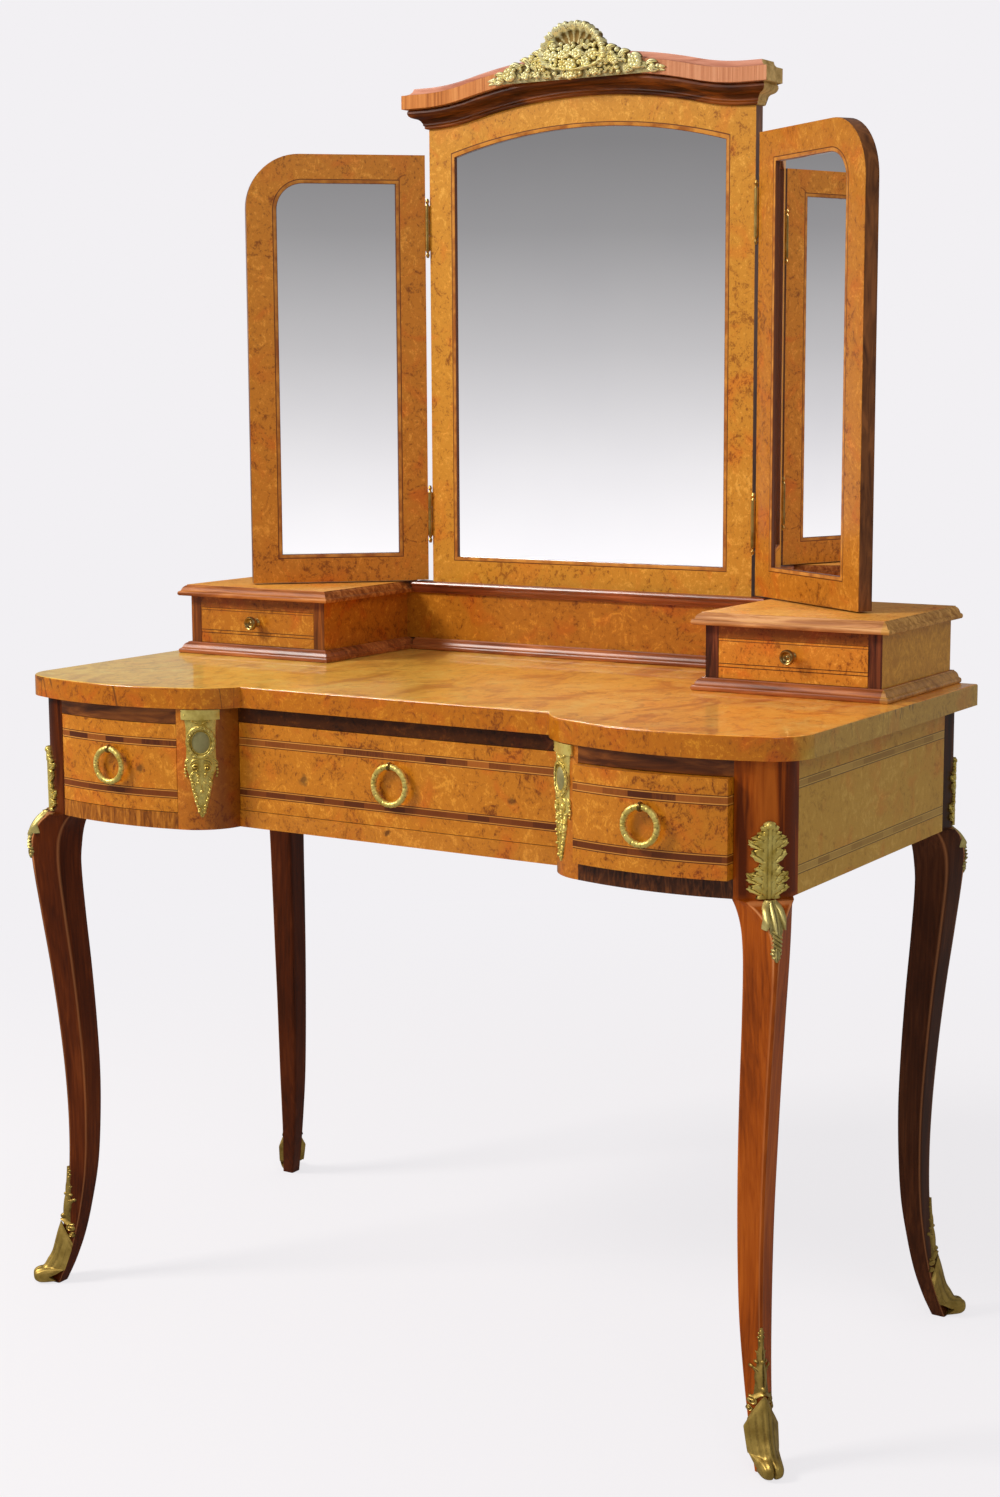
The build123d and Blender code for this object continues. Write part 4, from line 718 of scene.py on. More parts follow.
def edge_profile(base, high):
    """Moulded edge: a flat top, a small step, a hollow slope, then a round bead above the base."""
    slope = ((9.2, 0.05), (8.9, 1.0), (7.4, 1.6), (5.6, 3.0), (4.3, 5.0), (3.5, 7.2), (2.9, 7.9))
    steps = [(INSIDE, high, 1), (9.3, high, 1)] + [(inset, high - down, 0) for inset, down in slope]
    turn = np.linspace(0.5 * np.pi, -0.45 * np.pi, 7)
    tall = high - 8.4 - base
    bead = [(1.9 - 1.9 * math.cos(t), base + 0.5 * tall + 0.5 * tall * math.sin(t), 0) for t in turn]
    return steps + bead + [(4.0, base, 0), (INSIDE, base, 0)]


def lathe(profile, centre):
    """A turned piece whose axis points to the front: (radius, reach) pairs spun about it."""
    radius, reach = np.asarray(profile, float).T
    turn = round_turn(28)
    x = centre[0] + radius[:, None] * np.cos(turn)
    z = centre[2] + radius[:, None] * np.sin(turn)
    y = np.broadcast_to((centre[1] - reach)[:, None], x.shape)
    return sheet(np.stack([x, y, z], -1), round_columns=True)


CABRIOLE = np.array([
    (0.0, 4.5, -18.5, 12.0, 1.5), (4.2, -3.0, -30.5, 13.0, 1.5), (10.0, -12.5, -43.0, 14.5, 1.5),
    (17.0, -20.0, -53.0, 16.5, 1.5), (25.0, -24.5, -61.5, 18.7, 1.5), (34.5, -25.5, -65.8, 20.2, 1.5),
    (44.5, -23.3, -67.3, 21.4, 1.5), (55.5, -18.0, -65.3, 22.7, 1.5), (67.5, -10.0, -61.2, 23.7, 1.5),
    (79.0, -0.5, -56.0, 24.6, 1.6), (89.2, 7.5, -52.8, 26.0, 2.0), (94.0, 8.8, -55.2, 27.3, 4.5),
    (96.6, 4.5, -58.0, 28.8, 9.0), (98.6, -3.0, -62.0, 30.8, 17.0), (100.0, -12.0, -66.0, 33.0, 25.0),
])


def cabriole(level):
    """Outer ridge, inner ridge, half width and blunt at heights in mm: cubics through the stations.

    The slope at a station is that of the chord over its two neighbours.
    """
    percent = np.clip(np.asarray(level, float) * 100 / APRON[0], 0, 100)
    spots, values = CABRIOLE[:, 0], CABRIOLE[:, 1:]
    last = len(spots) - 1
    low = np.clip(np.searchsorted(spots, percent, "right") - 1, 0, last - 1)
    before, after = np.maximum(low - 1, 0), np.minimum(low + 2, last)
    step = spots[low + 1] - spots[low]
    t = ((percent - spots[low]) / step)[..., None]
    slope_low = (step / (spots[low + 1] - spots[before]))[..., None] * (values[low + 1] - values[before])
    slope_high = (step / (spots[after] - spots[low]))[..., None] * (values[after] - values[low])
    found = (values[low] * (1 + 2 * t) * (1 - t) ** 2 + slope_low * t * (1 - t) ** 2
             + values[low + 1] * t * t * (3 - 2 * t) - slope_high * t * t * (1 - t))
    return np.moveaxis(found, -1, 0)


def at_corner(side, end, out, across, height):
    """Points given outwards along a post's diagonal, across it and up, in the table's own frame."""
    x = side * (SIDE_HALF + DIAGONAL * out) - end * DIAGONAL * across
    y = POST_FACE[end] + end * DIAGONAL * out + side * DIAGONAL * across
    return np.stack(np.broadcast_arrays(x, y, height), -1)


def leg(side, end):
    """A cabriole leg and the post above it.

    The leg's section is a five sided figure set cornerwise, its sides divided evenly and its corners
    eased by averaging each point with its neighbours; the post has one rounded corner.
    """
    level = np.concatenate([np.linspace(0, 520, 80), np.linspace(524, APRON[0], 36)])
    outer, inner, half, blunt = cabriole(level)
    middle = (outer + inner) / 2
    nil = np.zeros_like(outer)
    corners = np.stack([np.stack(p, -1) for p in (
        (inner, nil), (middle, half), (outer, blunt), (outer, -blunt), (middle, -half))], 1)
    per_side = 12
    share = np.linspace(0, 1, per_side, endpoint=False)[:, None]
    following = np.roll(corners, -1, 1)
    ring = (corners[:, :, None] * (1 - share) + following[:, :, None] * share).reshape(len(level), -1, 2)
    for _ in range(2):
        ring = 0.25 * np.roll(ring, 1, 1) + 0.5 * ring + 0.25 * np.roll(ring, -1, 1)
    # tone for the paler arrises and the top of the front face: partly rubbed wear, partly a painted highlight
    worn = np.zeros(ring.shape[:2])
    front_side = slice(2 * per_side, 3 * per_side + 1)
    worn[:, per_side:4 * per_side + 1:per_side] = 0.3
    worn[:, front_side][:, ::per_side] = np.maximum(0.3, np.clip((level - 500) / 40, 0, 1))[:, None]
    worn[-2:, front_side] = 0.5
    lower = capped(at_corner(side, end, ring[..., 0], ring[..., 1], level[:, None]), tone=worn)
    radius = CORNER_RADIUS[end]
    y_out = POST_FACE[end]
    y_in = y_out - end * POST_DEPTH[end]
    x_out = side * SIDE_HALF
    turn = np.linspace(0, np.pi / 2, 16)
    arc_x = x_out - side * radius * (1 - np.cos(turn))
    arc = np.stack([arc_x, y_out - end * radius * (1 - np.sin(turn))], -1)
    plan = np.concatenate([[(x_out, y_in)], arc, [(side * POST_INNER, y_out), (side * POST_INNER, y_in)]])
    posts = [np.column_stack([plan, np.full(len(plan), z)]) for z in APRON]
    return together([lower, capped(np.stack(posts))])


LEGS = {
    (-1, -1): "front_left_leg", (1, -1): "front_right_leg",
    (-1, 1): "back_left_leg", (1, 1): "back_right_leg",
}
for (side, end), name in LEGS.items():
    make(f"{name}_shaped", leg(side, end), finish[name], "root", (name,), 30)

BOX_IN, BOX_OUT, LIP_FRONT, HOOD_FRONT = 254.2, 492.8, 39.7, 225.0
PLINTH_TOP, SLAB_FOOT = 774.5, 834.5


def over_boxes(profile):
    """The same moulded board on both small drawer boxes."""
    return [rim(*sorted((s * BOX_IN, s * BOX_OUT)), LIP_FRONT, BACK, profile) for s in (-1, 1)]


plinth = edge_profile(TOP, PLINTH_TOP)
plinths = over_boxes(plinth) + [straight(-BOX_IN, BOX_IN, HOOD_FRONT, BACK, plinth)]
slabs = over_boxes(edge_profile(SLAB_FOOT, GALLERY))
hood = straight(-BOX_IN, BOX_IN, HOOD_FRONT, BACK, (
    (40.0, GALLERY, 0), (2.2, GALLERY, 0), (0.8, 847.8, 0), (0.0, 846.2, 0), (0.4, 844.4, 0), (1.8, 843.3, 0),
    (2.4, 842.2, 0), (3.0, 840.4, 0), (4.4, 838.2, 0), (6.4, 836.4, 0), (7.4, SLAB_FOOT, 0),
    (40.0, SLAB_FOOT, 0)))
for name, part, look, stands_for in (
    ("moulded_plinths", together(plinths), "moulding", "gallery_plinths"),
    ("moulded_slabs", together(slabs), "slab", "gallery_slabs"),
    ("gallery_hood", hood, "hood", "gallery_moulding"),
):
    make(name, part, finish[look], "root", (stands_for,), 30)
KNOB = ((0, 0), (5.2, 0), (5.4, 0.8), (4.6, 1.6), (3.0, 3.0), (2.7, 5.5), (3.2, 8.0), (5.6, 9.6),
        (8.0, 10.8), (8.8, 12.2), (8.8, 13.6), (8.2, 15.2), (7.2, 16.0), (6.2, 15.6), (5.6, 14.4),
        (5.0, 13.2), (3.2, 12.4), (2.2, 12.5), (1.6, 13.2), (0.9, 13.6), (0, 13.7))
KNOB_X, KNOB_FRONT, KNOB_HEIGHT = 373.5, 52.5, 804.0
for side, name in ((-1, "left"), (1, "right")):
    make(f"{name}_turned_knob", lathe(KNOB, (side * KNOB_X, KNOB_FRONT, KNOB_HEIGHT)), finish["aged"],
         f"{name}_small_drawer", (f"{name}_knob",), 50)


# ================================================================ mirror frames and cornice
ARCH_END, ARCH_TURN = 225.0, 160.0
HOLLOW_RADIUS, CROWN_RADIUS, CROWN_RISE = 285.0, 701.6, 26.0


def arch(x):
    """Rise of the cornice at a width: level far out, then a hollow arc, then a crown arc over the middle.

    The rise of an arc is its radius less the root of radius squared less distance squared.
    """
    far = np.clip(ARCH_END - np.abs(x), 0, ARCH_END - ARCH_TURN)
    hollow = HOLLOW_RADIUS - np.sqrt(HOLLOW_RADIUS ** 2 - far ** 2)
    near = np.minimum(np.abs(x), ARCH_TURN)
    crown = CROWN_RISE - (CROWN_RADIUS - np.sqrt(CROWN_RADIUS ** 2 - near ** 2))
    return np.where(np.abs(x) > ARCH_TURN, hollow, crown)


def ring_of(outline, rows):
    """A frame: each row is an outline at a margin, a depth and a tone; the rows close on themselves."""
    count = len(outline(0))
    points = [np.column_stack([outline(margin), np.full(count, depth)]) for margin, depth, _ in rows]
    tones = np.array([tone for _, _, tone in rows])[:, None]
    return sheet(np.stack(points), round_rows=True, round_columns=True, tone=tones)


SIGHT_MARGIN = 36
HINGE_X, HINGE_Y, HINGE_GAP, PIN_AHEAD = 232.3, 240.5, 2.5, 1.5
WING_REACH, WING_FOOT, WING_HEAD, WING_CORNER = 231.0, 850.5, 1391.5, 68.0
GLASS_NEAR, GLASS_FAR, GLASS_FOOT, GLASS_HEAD, GLASS_CORNER = 41.0, 192.5, 887.0, 1355.0, 33.5


def upright_outline(margin):
    """The central sight opening grown by a margin; past 36 it is the frame's own serpentine outline."""
    whole = margin > SIGHT_MARGIN
    half = MIRROR_HALF if whole else SIGHT_HALF + margin
    low = GALLERY if whole else SIGHT_LOW - margin
    across = np.linspace(-1, 1, 61) * half
    if whole:
        top = SHOULDER + arch(across)
    else:
        radius = (half ** 2 + SIGHT_RISE ** 2) / (2 * SIGHT_RISE)
        top = SIGHT_HIGH + margin + SIGHT_RISE - radius + np.sqrt(radius ** 2 - across ** 2)
    climb = np.linspace(0, 1, 12)
    bottom = np.column_stack([across, np.full_like(across, low)])
    right = np.column_stack([np.full(12, half), low + (top[-1] - low) * climb])
    left = np.column_stack([np.full(12, -half), top[0] + (low - top[0]) * climb])
    return np.concatenate([bottom[:-1], right[:-1], np.column_stack([across, top])[::-1][:-1], left[:-1]])


def wing_outline(margin):
    """A wing's sight opening grown by a margin; past 36 it is the wing's own outline.

    The outer top corner is an arc in both.
    """
    whole = margin > SIGHT_MARGIN
    low_x, high_x = (HINGE_GAP, WING_REACH) if whole else (GLASS_NEAR - margin, GLASS_FAR + margin)
    low_z, high_z = (WING_FOOT, WING_HEAD) if whole else (GLASS_FOOT - margin, GLASS_HEAD + margin)
    radius = WING_CORNER if whole else GLASS_CORNER + margin
    turn = np.linspace(0, np.pi / 2, 16)
    corner_x = high_x - radius + radius * np.cos(turn)
    corner = np.column_stack([corner_x, high_z - radius + radius * np.sin(turn)])
    along = np.linspace(0, 1, 10)[:, None]

    def run(a, b):
        """Ten points evenly from one end to the other, the last left out."""
        return (np.array(a) * (1 - along) + np.array(b) * along)[:-1]

    return np.concatenate([
        run((low_x, low_z), (high_x, low_z)), run((high_x, low_z), (high_x, high_z - radius)), corner[:-1],
        run((high_x - radius, high_z), (low_x, high_z)), run((low_x, high_z), (low_x, low_z)),
    ])


FRAME_ROWS = (
    (0, 3.2, -2.0), (0, 0.9, -0.4), (0.25, 0.25, 0.0), (0.9, 0.0, 0.9), (5.0, 0.0, 5.0), (7.0, 0.0, 7.0),
    (12.0, 0.0, 12.0), (50, 0.35, 36.0), (50, 0.9, 40.0), (50, 17.5, 44.0), (49.9, 18.0, 48.0),
    (6.0, 18.0, 60.0), (6.0, 3.2, 60.0),
)


def central_frame():
    """The ring of the central frame, set upright at the mirror's depth."""
    points, quads, tones = ring_of(upright_outline, FRAME_ROWS)
    return np.column_stack([points[:, 0], MIRROR_FRONT + points[:, 2], points[:, 1]]), quads, tones


def in_wing(side, angle, along, up, depth):
    """Points of a wing, measured from its hinge axis: along it, up, and back from its face."""
    turn = math.radians(angle)
    back = depth + PIN_AHEAD
    x = side * (HINGE_X + along * math.cos(turn) + back * math.sin(turn))
    y = HINGE_Y - along * math.sin(turn) + back * math.cos(turn)
    return np.stack(np.broadcast_arrays(x, y, up), -1)


def wing_frame(side, angle):
    """The ring of a wing's frame, turned forward about its hinge axis."""
    points, quads, tones = ring_of(wing_outline, FRAME_ROWS)
    return in_wing(side, angle, points[:, 0], points[:, 1], points[:, 2]), quads, tones


make("central_frame_veneered", central_frame(), finish["frame"], "root", ("mirror_frame",), 30)
for side, name, angle in ((-1, "left", 43.0), (1, "right", 34.0)):
    make(f"{name}_wing_veneered", wing_frame(side, angle), finish[f"{name}_wing"], f"{name}_wing",
         (f"{name}_wing_frame",), 30)


def cornice():
    """The cornice: a profile of (reach, height) carried along the serpentine front and back at both ends."""
    profile = np.array([
        (-17.9, 0.0), (1.6, 0.0), (3.4, 0.6), (4.2, 2.0), (3.6, 3.4), (4.8, 4.2), (5.6, 5.2), (5.4, 6.6),
        (6.2, 7.8), (7.8, 10.4), (10.0, 12.0), (13.0, 12.8), (16.2, 13.8), (18.8, 16.0), (20.0, 18.8),
        (19.6, 21.6), (18.2, 23.4), (18.0, 24.0), (24.6, 24.0), (25.0, 24.4), (25.0, 40.6), (24.6, 41.0),
        (23.4, 41.2), (20.4, 41.7), (17.0, 43.2), (14.6, 45.8), (13.6, 48.4), (13.4, 49.5), (-17.9, 49.5),
    ])
    reach, height = profile.T
    half = MIRROR_HALF + reach
    share = np.concatenate([[-1, -1, -0.9995], np.linspace(-0.985, 0.985, 67), [0.9995, 1, 1]])
    x = half[:, None] * share
    y = np.broadcast_to((MIRROR_FRONT - reach)[:, None], x.shape).copy()
    y[:, 0] = y[:, -1] = MIRROR_BACK
    z = SHOULDER + height[:, None] + arch(x)
    tone = np.select([height < 24, height < 41.1], [0.0, 1.0], 2.0)[:, None] + np.zeros(x.shape)
    # tone 4 marks the right end's return, where the finish paints an olive shade
    tone[:, -2:] = 4.0
    points = np.stack([x, y, z], -1).transpose(1, 0, 2)
    return capped(points, tone=tone.T)


make("moulded_cornice", cornice(), finish["cornice"], "root", ("cornice",), 28)


# ================================================================ cast ornament, built flat: across, up, out
BED = -1.0


def flowing(stops, count=24):
    """A smooth line through stops: cubics whose end slopes are half the chord over both neighbours."""
    stops = np.asarray(stops, float)
    held = np.concatenate([2 * stops[:1] - stops[1:2], stops, 2 * stops[-1:] - stops[-2:-1]])
    t = np.linspace(0, len(stops) - 1, count)
    k = np.minimum(t.astype(int), len(stops) - 2)
    f = (t - k)[:, None]
    a, b, c, d = (held[k + j] for j in range(4))
    square, cube = 2 * a - 5 * b + 4 * c - d, 3 * b - a - 3 * c + d
    return 0.5 * (2 * b + (c - a) * f + square * f ** 2 + cube * f ** 3)


def strip(line, side, rise, lift=0.0, crown=2.0, groove=0.0, count=9, dark=0.7):
    """A raised strip: a domed section carried along a flat line, closed below by a hidden base.

    Across, a share runs from -1 to 1 of the half width; the height is lift plus rise times one less the
    share to the power of crown, less a groove along the middle.
    """
    line = np.asarray(line, float)
    n = len(line)
    side, rise, lift = (np.broadcast_to(np.asarray(v, float), (n,)) for v in (side, rise, lift))
    run = np.gradient(line, axis=0)
    run /= np.maximum(np.linalg.norm(run, axis=1, keepdims=True), 1e-9)
    normal = np.stack([-run[:, 1], run[:, 0]], -1)
    share = np.linspace(-1, 1, count)
    dip = np.exp(-(share / 0.24) ** 2)
    top = lift[:, None] + rise[:, None] * (1 - np.abs(share) ** crown - groove * dip)
    flat = line[:, None] + (side[:, None] * share)[..., None] * normal[:, None]
    upper = np.concatenate([flat, top[..., None]], -1)
    base = upper[:, [-1, 0]].copy()
    base[..., 2] = BED
    tone = np.concatenate([dark * np.abs(share) ** 2 + (0.9 if groove else 0.0) * dip, [1.0, 1.0]])
    return capped(np.concatenate([upper, base], 1), tone=tone[None, :])


def leaf(root, tip, side, rise=1.6, bend=0.0, lift=0.0, groove=0.35, count=15):
    """A leaf from root to tip, hollowed along its vein and blunt at its tip.

    Its width and its height follow a sine of the share of its length, its bend a sine across it.
    """
    root, tip = np.asarray(root, float), np.asarray(tip, float)
    span = tip - root
    t = np.linspace(0, 1, count)
    line = root + t[:, None] * span + (bend * np.sin(np.pi * t))[:, None] * np.array([-span[1], span[0]])
    width = side * np.sin(np.pi * np.clip(t * 0.86 + 0.12, 0, 1)) ** 0.8
    width[-1] = 0.15 * side
    height = rise * (0.35 + 0.65 * np.sin(np.pi * t * 0.9))
    return strip(line, width, height, lift, 2.2, groove)


def bead(u, v, radius, rise=None, lift=0.0, count=10):
    """Half a ball, or half an egg: as it climbs, its radius is a cosine and its height a sine."""
    rise = radius if rise is None else rise
    turn = round_turn(count)
    climb = np.linspace(0, np.pi / 2, 5)
    flat = radius * np.cos(climb)[:, None]
    x, y = u + flat * np.cos(turn), v + flat * np.sin(turn)
    z = np.broadcast_to((lift + rise * np.sin(climb))[:, None], x.shape)
    points = np.stack([x, y, z], -1)
    base = points[:1].copy()
    base[..., 2] = BED
    tone = np.concatenate([[1.0], 0.8 * (1 - np.sin(climb))])[:, None]
    return capped(np.concatenate([base, points]), tone=tone)


def flower(u, v, radius, rise=3.0, petals=5, lift=0.0, turned=0.0):
    """A rosette: round petals about a raised button; its rim and its hollows follow a folded cosine."""
    button_share = 0.28
    turn = round_turn(5 * petals)
    share = np.array([1.0, 1.0, 0.9, 0.74, 0.56, 0.42, 0.31, 0.24, 0.12])
    lobe = np.abs(np.cos(petals * (turn - turned) / 2)) ** 0.6
    reach = radius * (0.72 + 0.28 * lobe)
    outside = np.clip((share - button_share) / 0.72, 0, 1)
    petal = (0.45 + 0.55 * np.sin(np.pi * outside) ** 0.7)[:, None]
    petal = petal * (0.55 + 0.45 * lobe)
    button = np.sqrt(np.clip(1 - (share / button_share) ** 2, 0, 1))[:, None]
    high = lift + rise * np.where(share[:, None] < button_share, 0.55 + 0.55 * button, petal * 0.9)
    high[0] = BED
    x = u + reach * share[:, None] * np.cos(turn)
    y = v + reach * share[:, None] * np.sin(turn)
    seam = np.exp(-((share - 0.31) / 0.06) ** 2)[:, None]
    tone = np.clip(0.8 - 0.9 * lobe + 0.35 * seam, 0, 1)
    tone[0] = 1.0
    return capped(np.stack([x, y, high], -1), tone=tone)


def scroll(u, v, start, end, turns, width, rise=2.0, from_angle=0.0, lift=0.0, hand=1):
    """A volute: a strip along a spiral whose radius shrinks evenly, with a bead at its eye."""
    t = np.linspace(0, 1, int(26 * turns) + 6)
    angle = from_angle + hand * 2 * np.pi * turns * t
    radius = start + (end - start) * t
    line = np.stack([u + radius * np.cos(angle), v + radius * np.sin(angle)], -1)
    body = strip(line, width * (1 - 0.45 * t), rise * (1 + 0.2 * t), lift, count=7)
    return together([body, bead(line[-1, 0], line[-1, 1], width * 1.1, rise * 1.5, lift)])


def plate(stops, rise, tone=0.6):
    """A flat plate with an eased rim, its half width drawn straight between (level, half width) stops."""
    stops = np.asarray(stops, float)
    level = np.linspace(stops[0, 0], stops[-1, 0], 40)
    half = np.interp(level, *stops.T)
    share = np.array([-1, -1, -0.93, -0.5, 0, 0.5, 0.93, 1, 1])
    rim_high = rise - 0.6
    high = np.array([BED, rim_high, rise, rise, rise, rise, rise, rim_high, BED])
    u = half[:, None] * share
    points = np.stack([u, np.broadcast_to(level[:, None], u.shape), np.broadcast_to(high, u.shape)], -1)
    return capped(points, tone=tone)


def frond(stops, rise, pitch, lean, notch, veins, rows):
    """A cast leaf, its half width drawn through (level, half width) stops and notched between its lobes.

    A lobe climbs by lean for each mm outwards.  Its swell is the root of the size of a cosine over the
    level less lean times the distance across, counted in pitches, so that lobes are broad and the cuts
    between them narrow; near the middle the face is fluted upright instead.
    """
    stops = np.asarray(stops, float)
    flutes = 4.4
    level = np.linspace(stops[0, 0], stops[-1, 0], rows)
    wide = np.interp(level, *stops.T)
    share = np.linspace(-1, 1, 41)
    away = np.abs(share)
    phase = (level[:, None] - lean * wide[:, None] * away) / pitch
    lobe = np.abs(np.cos(np.pi * phase)) ** 0.5
    half = wide * (1 - notch * (1 - lobe[:, -1]) - 0.09 * np.abs(np.sin(3 * np.pi * phase[:, -1])))
    u = half[:, None] * share
    upright = np.exp(-(u / (1.2 * flutes)) ** 2)
    flute = np.cos(2 * np.pi * u / flutes)
    high = 0.7 + rise * (1 - away ** 2.6) + veins * (lobe - 0.6) * away ** 0.7 * (1 - upright)
    high = high + 0.6 * rise * away ** 4 * lobe + 0.6 * flute * upright
    tone = (1.5 - 1.8 * lobe) * away ** 0.4 * (1 - upright) + (0.25 - 0.4 * flute) * upright
    top = np.stack([u, np.broadcast_to(level[:, None], u.shape), high], -1)
    base = top[:, [-1, 0]].copy()
    base[..., 2] = BED
    tone = np.concatenate([np.clip(tone, 0, 0.9), np.full((rows, 2), 0.9)], 1)
    return capped(np.concatenate([top, base], 1), tone=tone)


def both(build):
    """The pieces of one side and their mirror images across the middle."""
    right = together(build)
    left = right[0] * (-1, 1, 1), right[1], right[2]
    return together([right, left])


def laid(part, place):
    """A flat-built ornament carried onto its place."""
    points, quads, tones = part
    return place(*points.T), quads, tones


def on_post(side, end, base):
    """Round a post's corner: across runs along its arc from the diagonal, then straight on."""
    radius = CORNER_RADIUS[end]

    def place(u, v, w):
        """The turn is across over the radius; what is left over runs along the tangent."""
        turn = np.clip(u / radius, -np.pi / 4, np.pi / 4)
        rest = u - turn * radius
        out = (radius + w) * np.cos(turn) - rest * np.sin(turn) - radius / DIAGONAL
        return at_corner(side, end, out, (radius + w) * np.sin(turn) + rest * np.cos(turn), base + v)

    return place


def on_ridge(side, end):
    """On the ridge of a leg: up is the height above the floor, out runs along the diagonal."""

    def place(u, v, w):
        """Away from the ridge the ground falls by the slope of the leg's section."""
        outer, inner, half, blunt = cabriole(v)
        slope = (outer - inner) / 2 / (half - blunt)
        fall = np.maximum(np.sqrt(u * u + 1.5) - blunt, 0) * slope
        return at_corner(side, end, outer - fall + w, u, v)

    return place


def on_stile(side, base):
    """Round a stile, whose arc has its centre inside the carcass: across runs along the arc."""
    centre_x, centre_y, radius, middle = 276.51, -174.87, 58.94, math.radians(36.5)

    def place(u, v, w):
        """A point of a circle at a turn of across over the radius, further out by its height."""
        turn = middle - side * u / radius
        x = side * (centre_x - (radius + w) * np.sin(turn))
        y = centre_y - (radius + w) * np.cos(turn)
        return np.stack([x, y, base + v], -1)

    return place


FASCIA_FRONT, FASCIA_FOOT = 217.0, 1467.0


def on_fascia(u, v, w):
    """On the flat front of the cornice: across is X, up is Z from the fascia's foot, out is towards -Y."""
    return np.stack([u, FASCIA_FRONT - w, FASCIA_FOOT + v], -1)


def acanthus():
    """Three tiers of one broad notched leaf with a fluted middle; its tip curls over into a berry."""
    tiers = [frond(*tier) for tier in (
        (((0, 17), (6, 22), (14, 22.8), (22, 22.5), (28, 17), (35, 11)), 2.2, 9.0, 0.85, 0.4, 3.2, 80),
        (((24, 10), (34, 13), (42, 18), (50, 20.6), (59, 20.8), (65, 15), (69, 9)),
         2.8, 9.4, 0.85, 0.4, 3.2, 92),
        (((60, 6), (66, 9.8), (73, 9.4), (77.5, 4.0)), 3.6, 8.0, 0.8, 0.3, 1.2, 40),
    )]
    tips = [leaf((16, 20), (22.6, 25.5), 3.2, 3.0), leaf((13, 53), (20.8, 59), 3.2, 3.2)]
    ribs = strip(flowing(((8.5, 0), (6.0, 18), (3.8, 42), (2.4, 64)), 24), 1.0, 3.3, count=7, dark=0.2)
    stem = strip(flowing(((0, 0), (0, 30), (0, 70)), 16), np.linspace(2.8, 1.8, 16), 3.9, count=9, dark=0.25)
    curl = bead(0, 73.5, 5.0, 6.4)
    return together(tiers + [both(tips + [ribs]), stem, curl])


def husk():
    """A bud split into three petals over a twisted cord that ends in a leaf with berries."""
    back = plate(((537, 0.8), (542, 4), (549, 5), (553, 3.4), (562, 3.8), (567, 6.5), (578, 8.2), (590, 7.4),
                  (595.5, 4)), 1.2)
    swell = np.sin(np.pi * np.linspace(0.16, 0.9, 20)) ** 0.5
    petal_line = flowing(((3.0, 594.5), (7.2, 588), (8.6, 578), (10.6, 569)), 20)
    petal = strip(petal_line, 3.9 * swell, 4.6, dark=0.45)
    bud = strip(flowing(((0, 595.5), (0, 580), (0, 566)), 20), 5.0 * swell, 6.0, groove=0.12, dark=0.5)
    cord = [strip(flowing(((-4.4, z + 3.2), (0, z), (4.4, z - 3.2)), 9), 1.6, 4.0, count=7)
            for z in (565.4, 561.2, 557, 552.8)]
    tip = leaf((0, 553), (0, 537.2), 3.2, 3.8, groove=0.2)
    berries = [bead(*berry, count=8) for berry in (
        (3.8, 549.5, 1.8, 3.6), (4.2, 545.6, 1.7, 3.4), (3.0, 541.8, 1.5, 3.2))]
    return together([back, both([petal] + berries), bud, tip] + cord)


def hoof(side, end):
    """The shoe: a path down the front of the foot and round the curled toe, drawn out sideways.

    Each point of the path goes back towards a spine inside the foot by a share that grows with the
    distance from the middle; shallow flutes and a cleft between the toes are cut as cosines.  Its upper
    edge drops away from the ridge to both sides, following the lean of the leg, and the two side edges
    meet through the foot, so the shoe is closed behind.
    """
    sole = 10.0
    level = np.array([77.0, 66.0, 52.0, 38.0])
    upper = np.stack([cabriole(level)[0] + (4.2, 5.4, 6.0, 6.4), level], -1)
    toe = np.array([(5.6, 29), (10.4, 22.6), (14.5, 19.6), (18.6, 18.0), (22.4, 14.2), (23.5, 9.0),
                    (22.2, 4.4), (18.0, 1.2), (11.0, 0.1), (2.0, 0.0), (-6.0, 0.0)])
    path = flowing(np.concatenate([upper, toe]), 92)
    spot = np.linspace(0, 1, len(path))
    outer, inner, half, _ = cabriole(np.maximum(path[:, 1], sole))
    curl = ease((spot - 0.42) / 0.2)
    spine_out = (outer + inner) / 2 * (1 - curl) + 6.0 * curl
    spine = np.stack([spine_out, path[:, 1] * (1 - curl) + 9.0 * curl], -1)
    reach = (half + 4.0) * (1 - curl) + 13.4 * curl
    reach = reach * (1 - 0.28 * ease((0.06 - spot) / 0.06))
    share = np.linspace(-1, 1, 49)
    power = (1.55 + 1.9 * curl)[:, None]
    keep = (1 - np.abs(share) ** power) ** (1 - 0.5 * curl)[:, None]
    cleft = 0.20 * np.exp(-(share / 0.085) ** 2) * ease((spot[:, None] - 0.2) / 0.4)
    flutes = 0.028 * np.cos(share * 6 * np.pi) * (np.abs(share) < 0.83)
    flutes = flutes * ease((spot[:, None] - 0.02) / 0.1)
    flutes = flutes * (1 - 0.9 * ease((spot[:, None] - 0.5) / 0.15))
    keep = keep * (1 - cleft) + flutes * keep
    body = spine[:, None] + (path - spine)[:, None] * keep[..., None]
    across = reach[:, None] * share
    fall = 27.0 * np.abs(share) ** 1.4 * (1 - ease(spot / 0.5))[:, None]
    held = np.maximum(path[:, 1:], sole)
    outer_here, inner_here, _, _ = cabriole(held)
    outer_below, inner_below, _, _ = cabriole(np.maximum(held - fall, sole))
    lean = (outer_below + inner_below - outer_here - inner_here) / 2
    tone = np.clip(4.0 * cleft + 0.3 - 9 * flutes, 0, 1) * (1 - 0.4 * curl[:, None])
    points = at_corner(side, end, body[..., 0] + lean, across, body[..., 1] - fall)
    return capped(points, tone=tone)


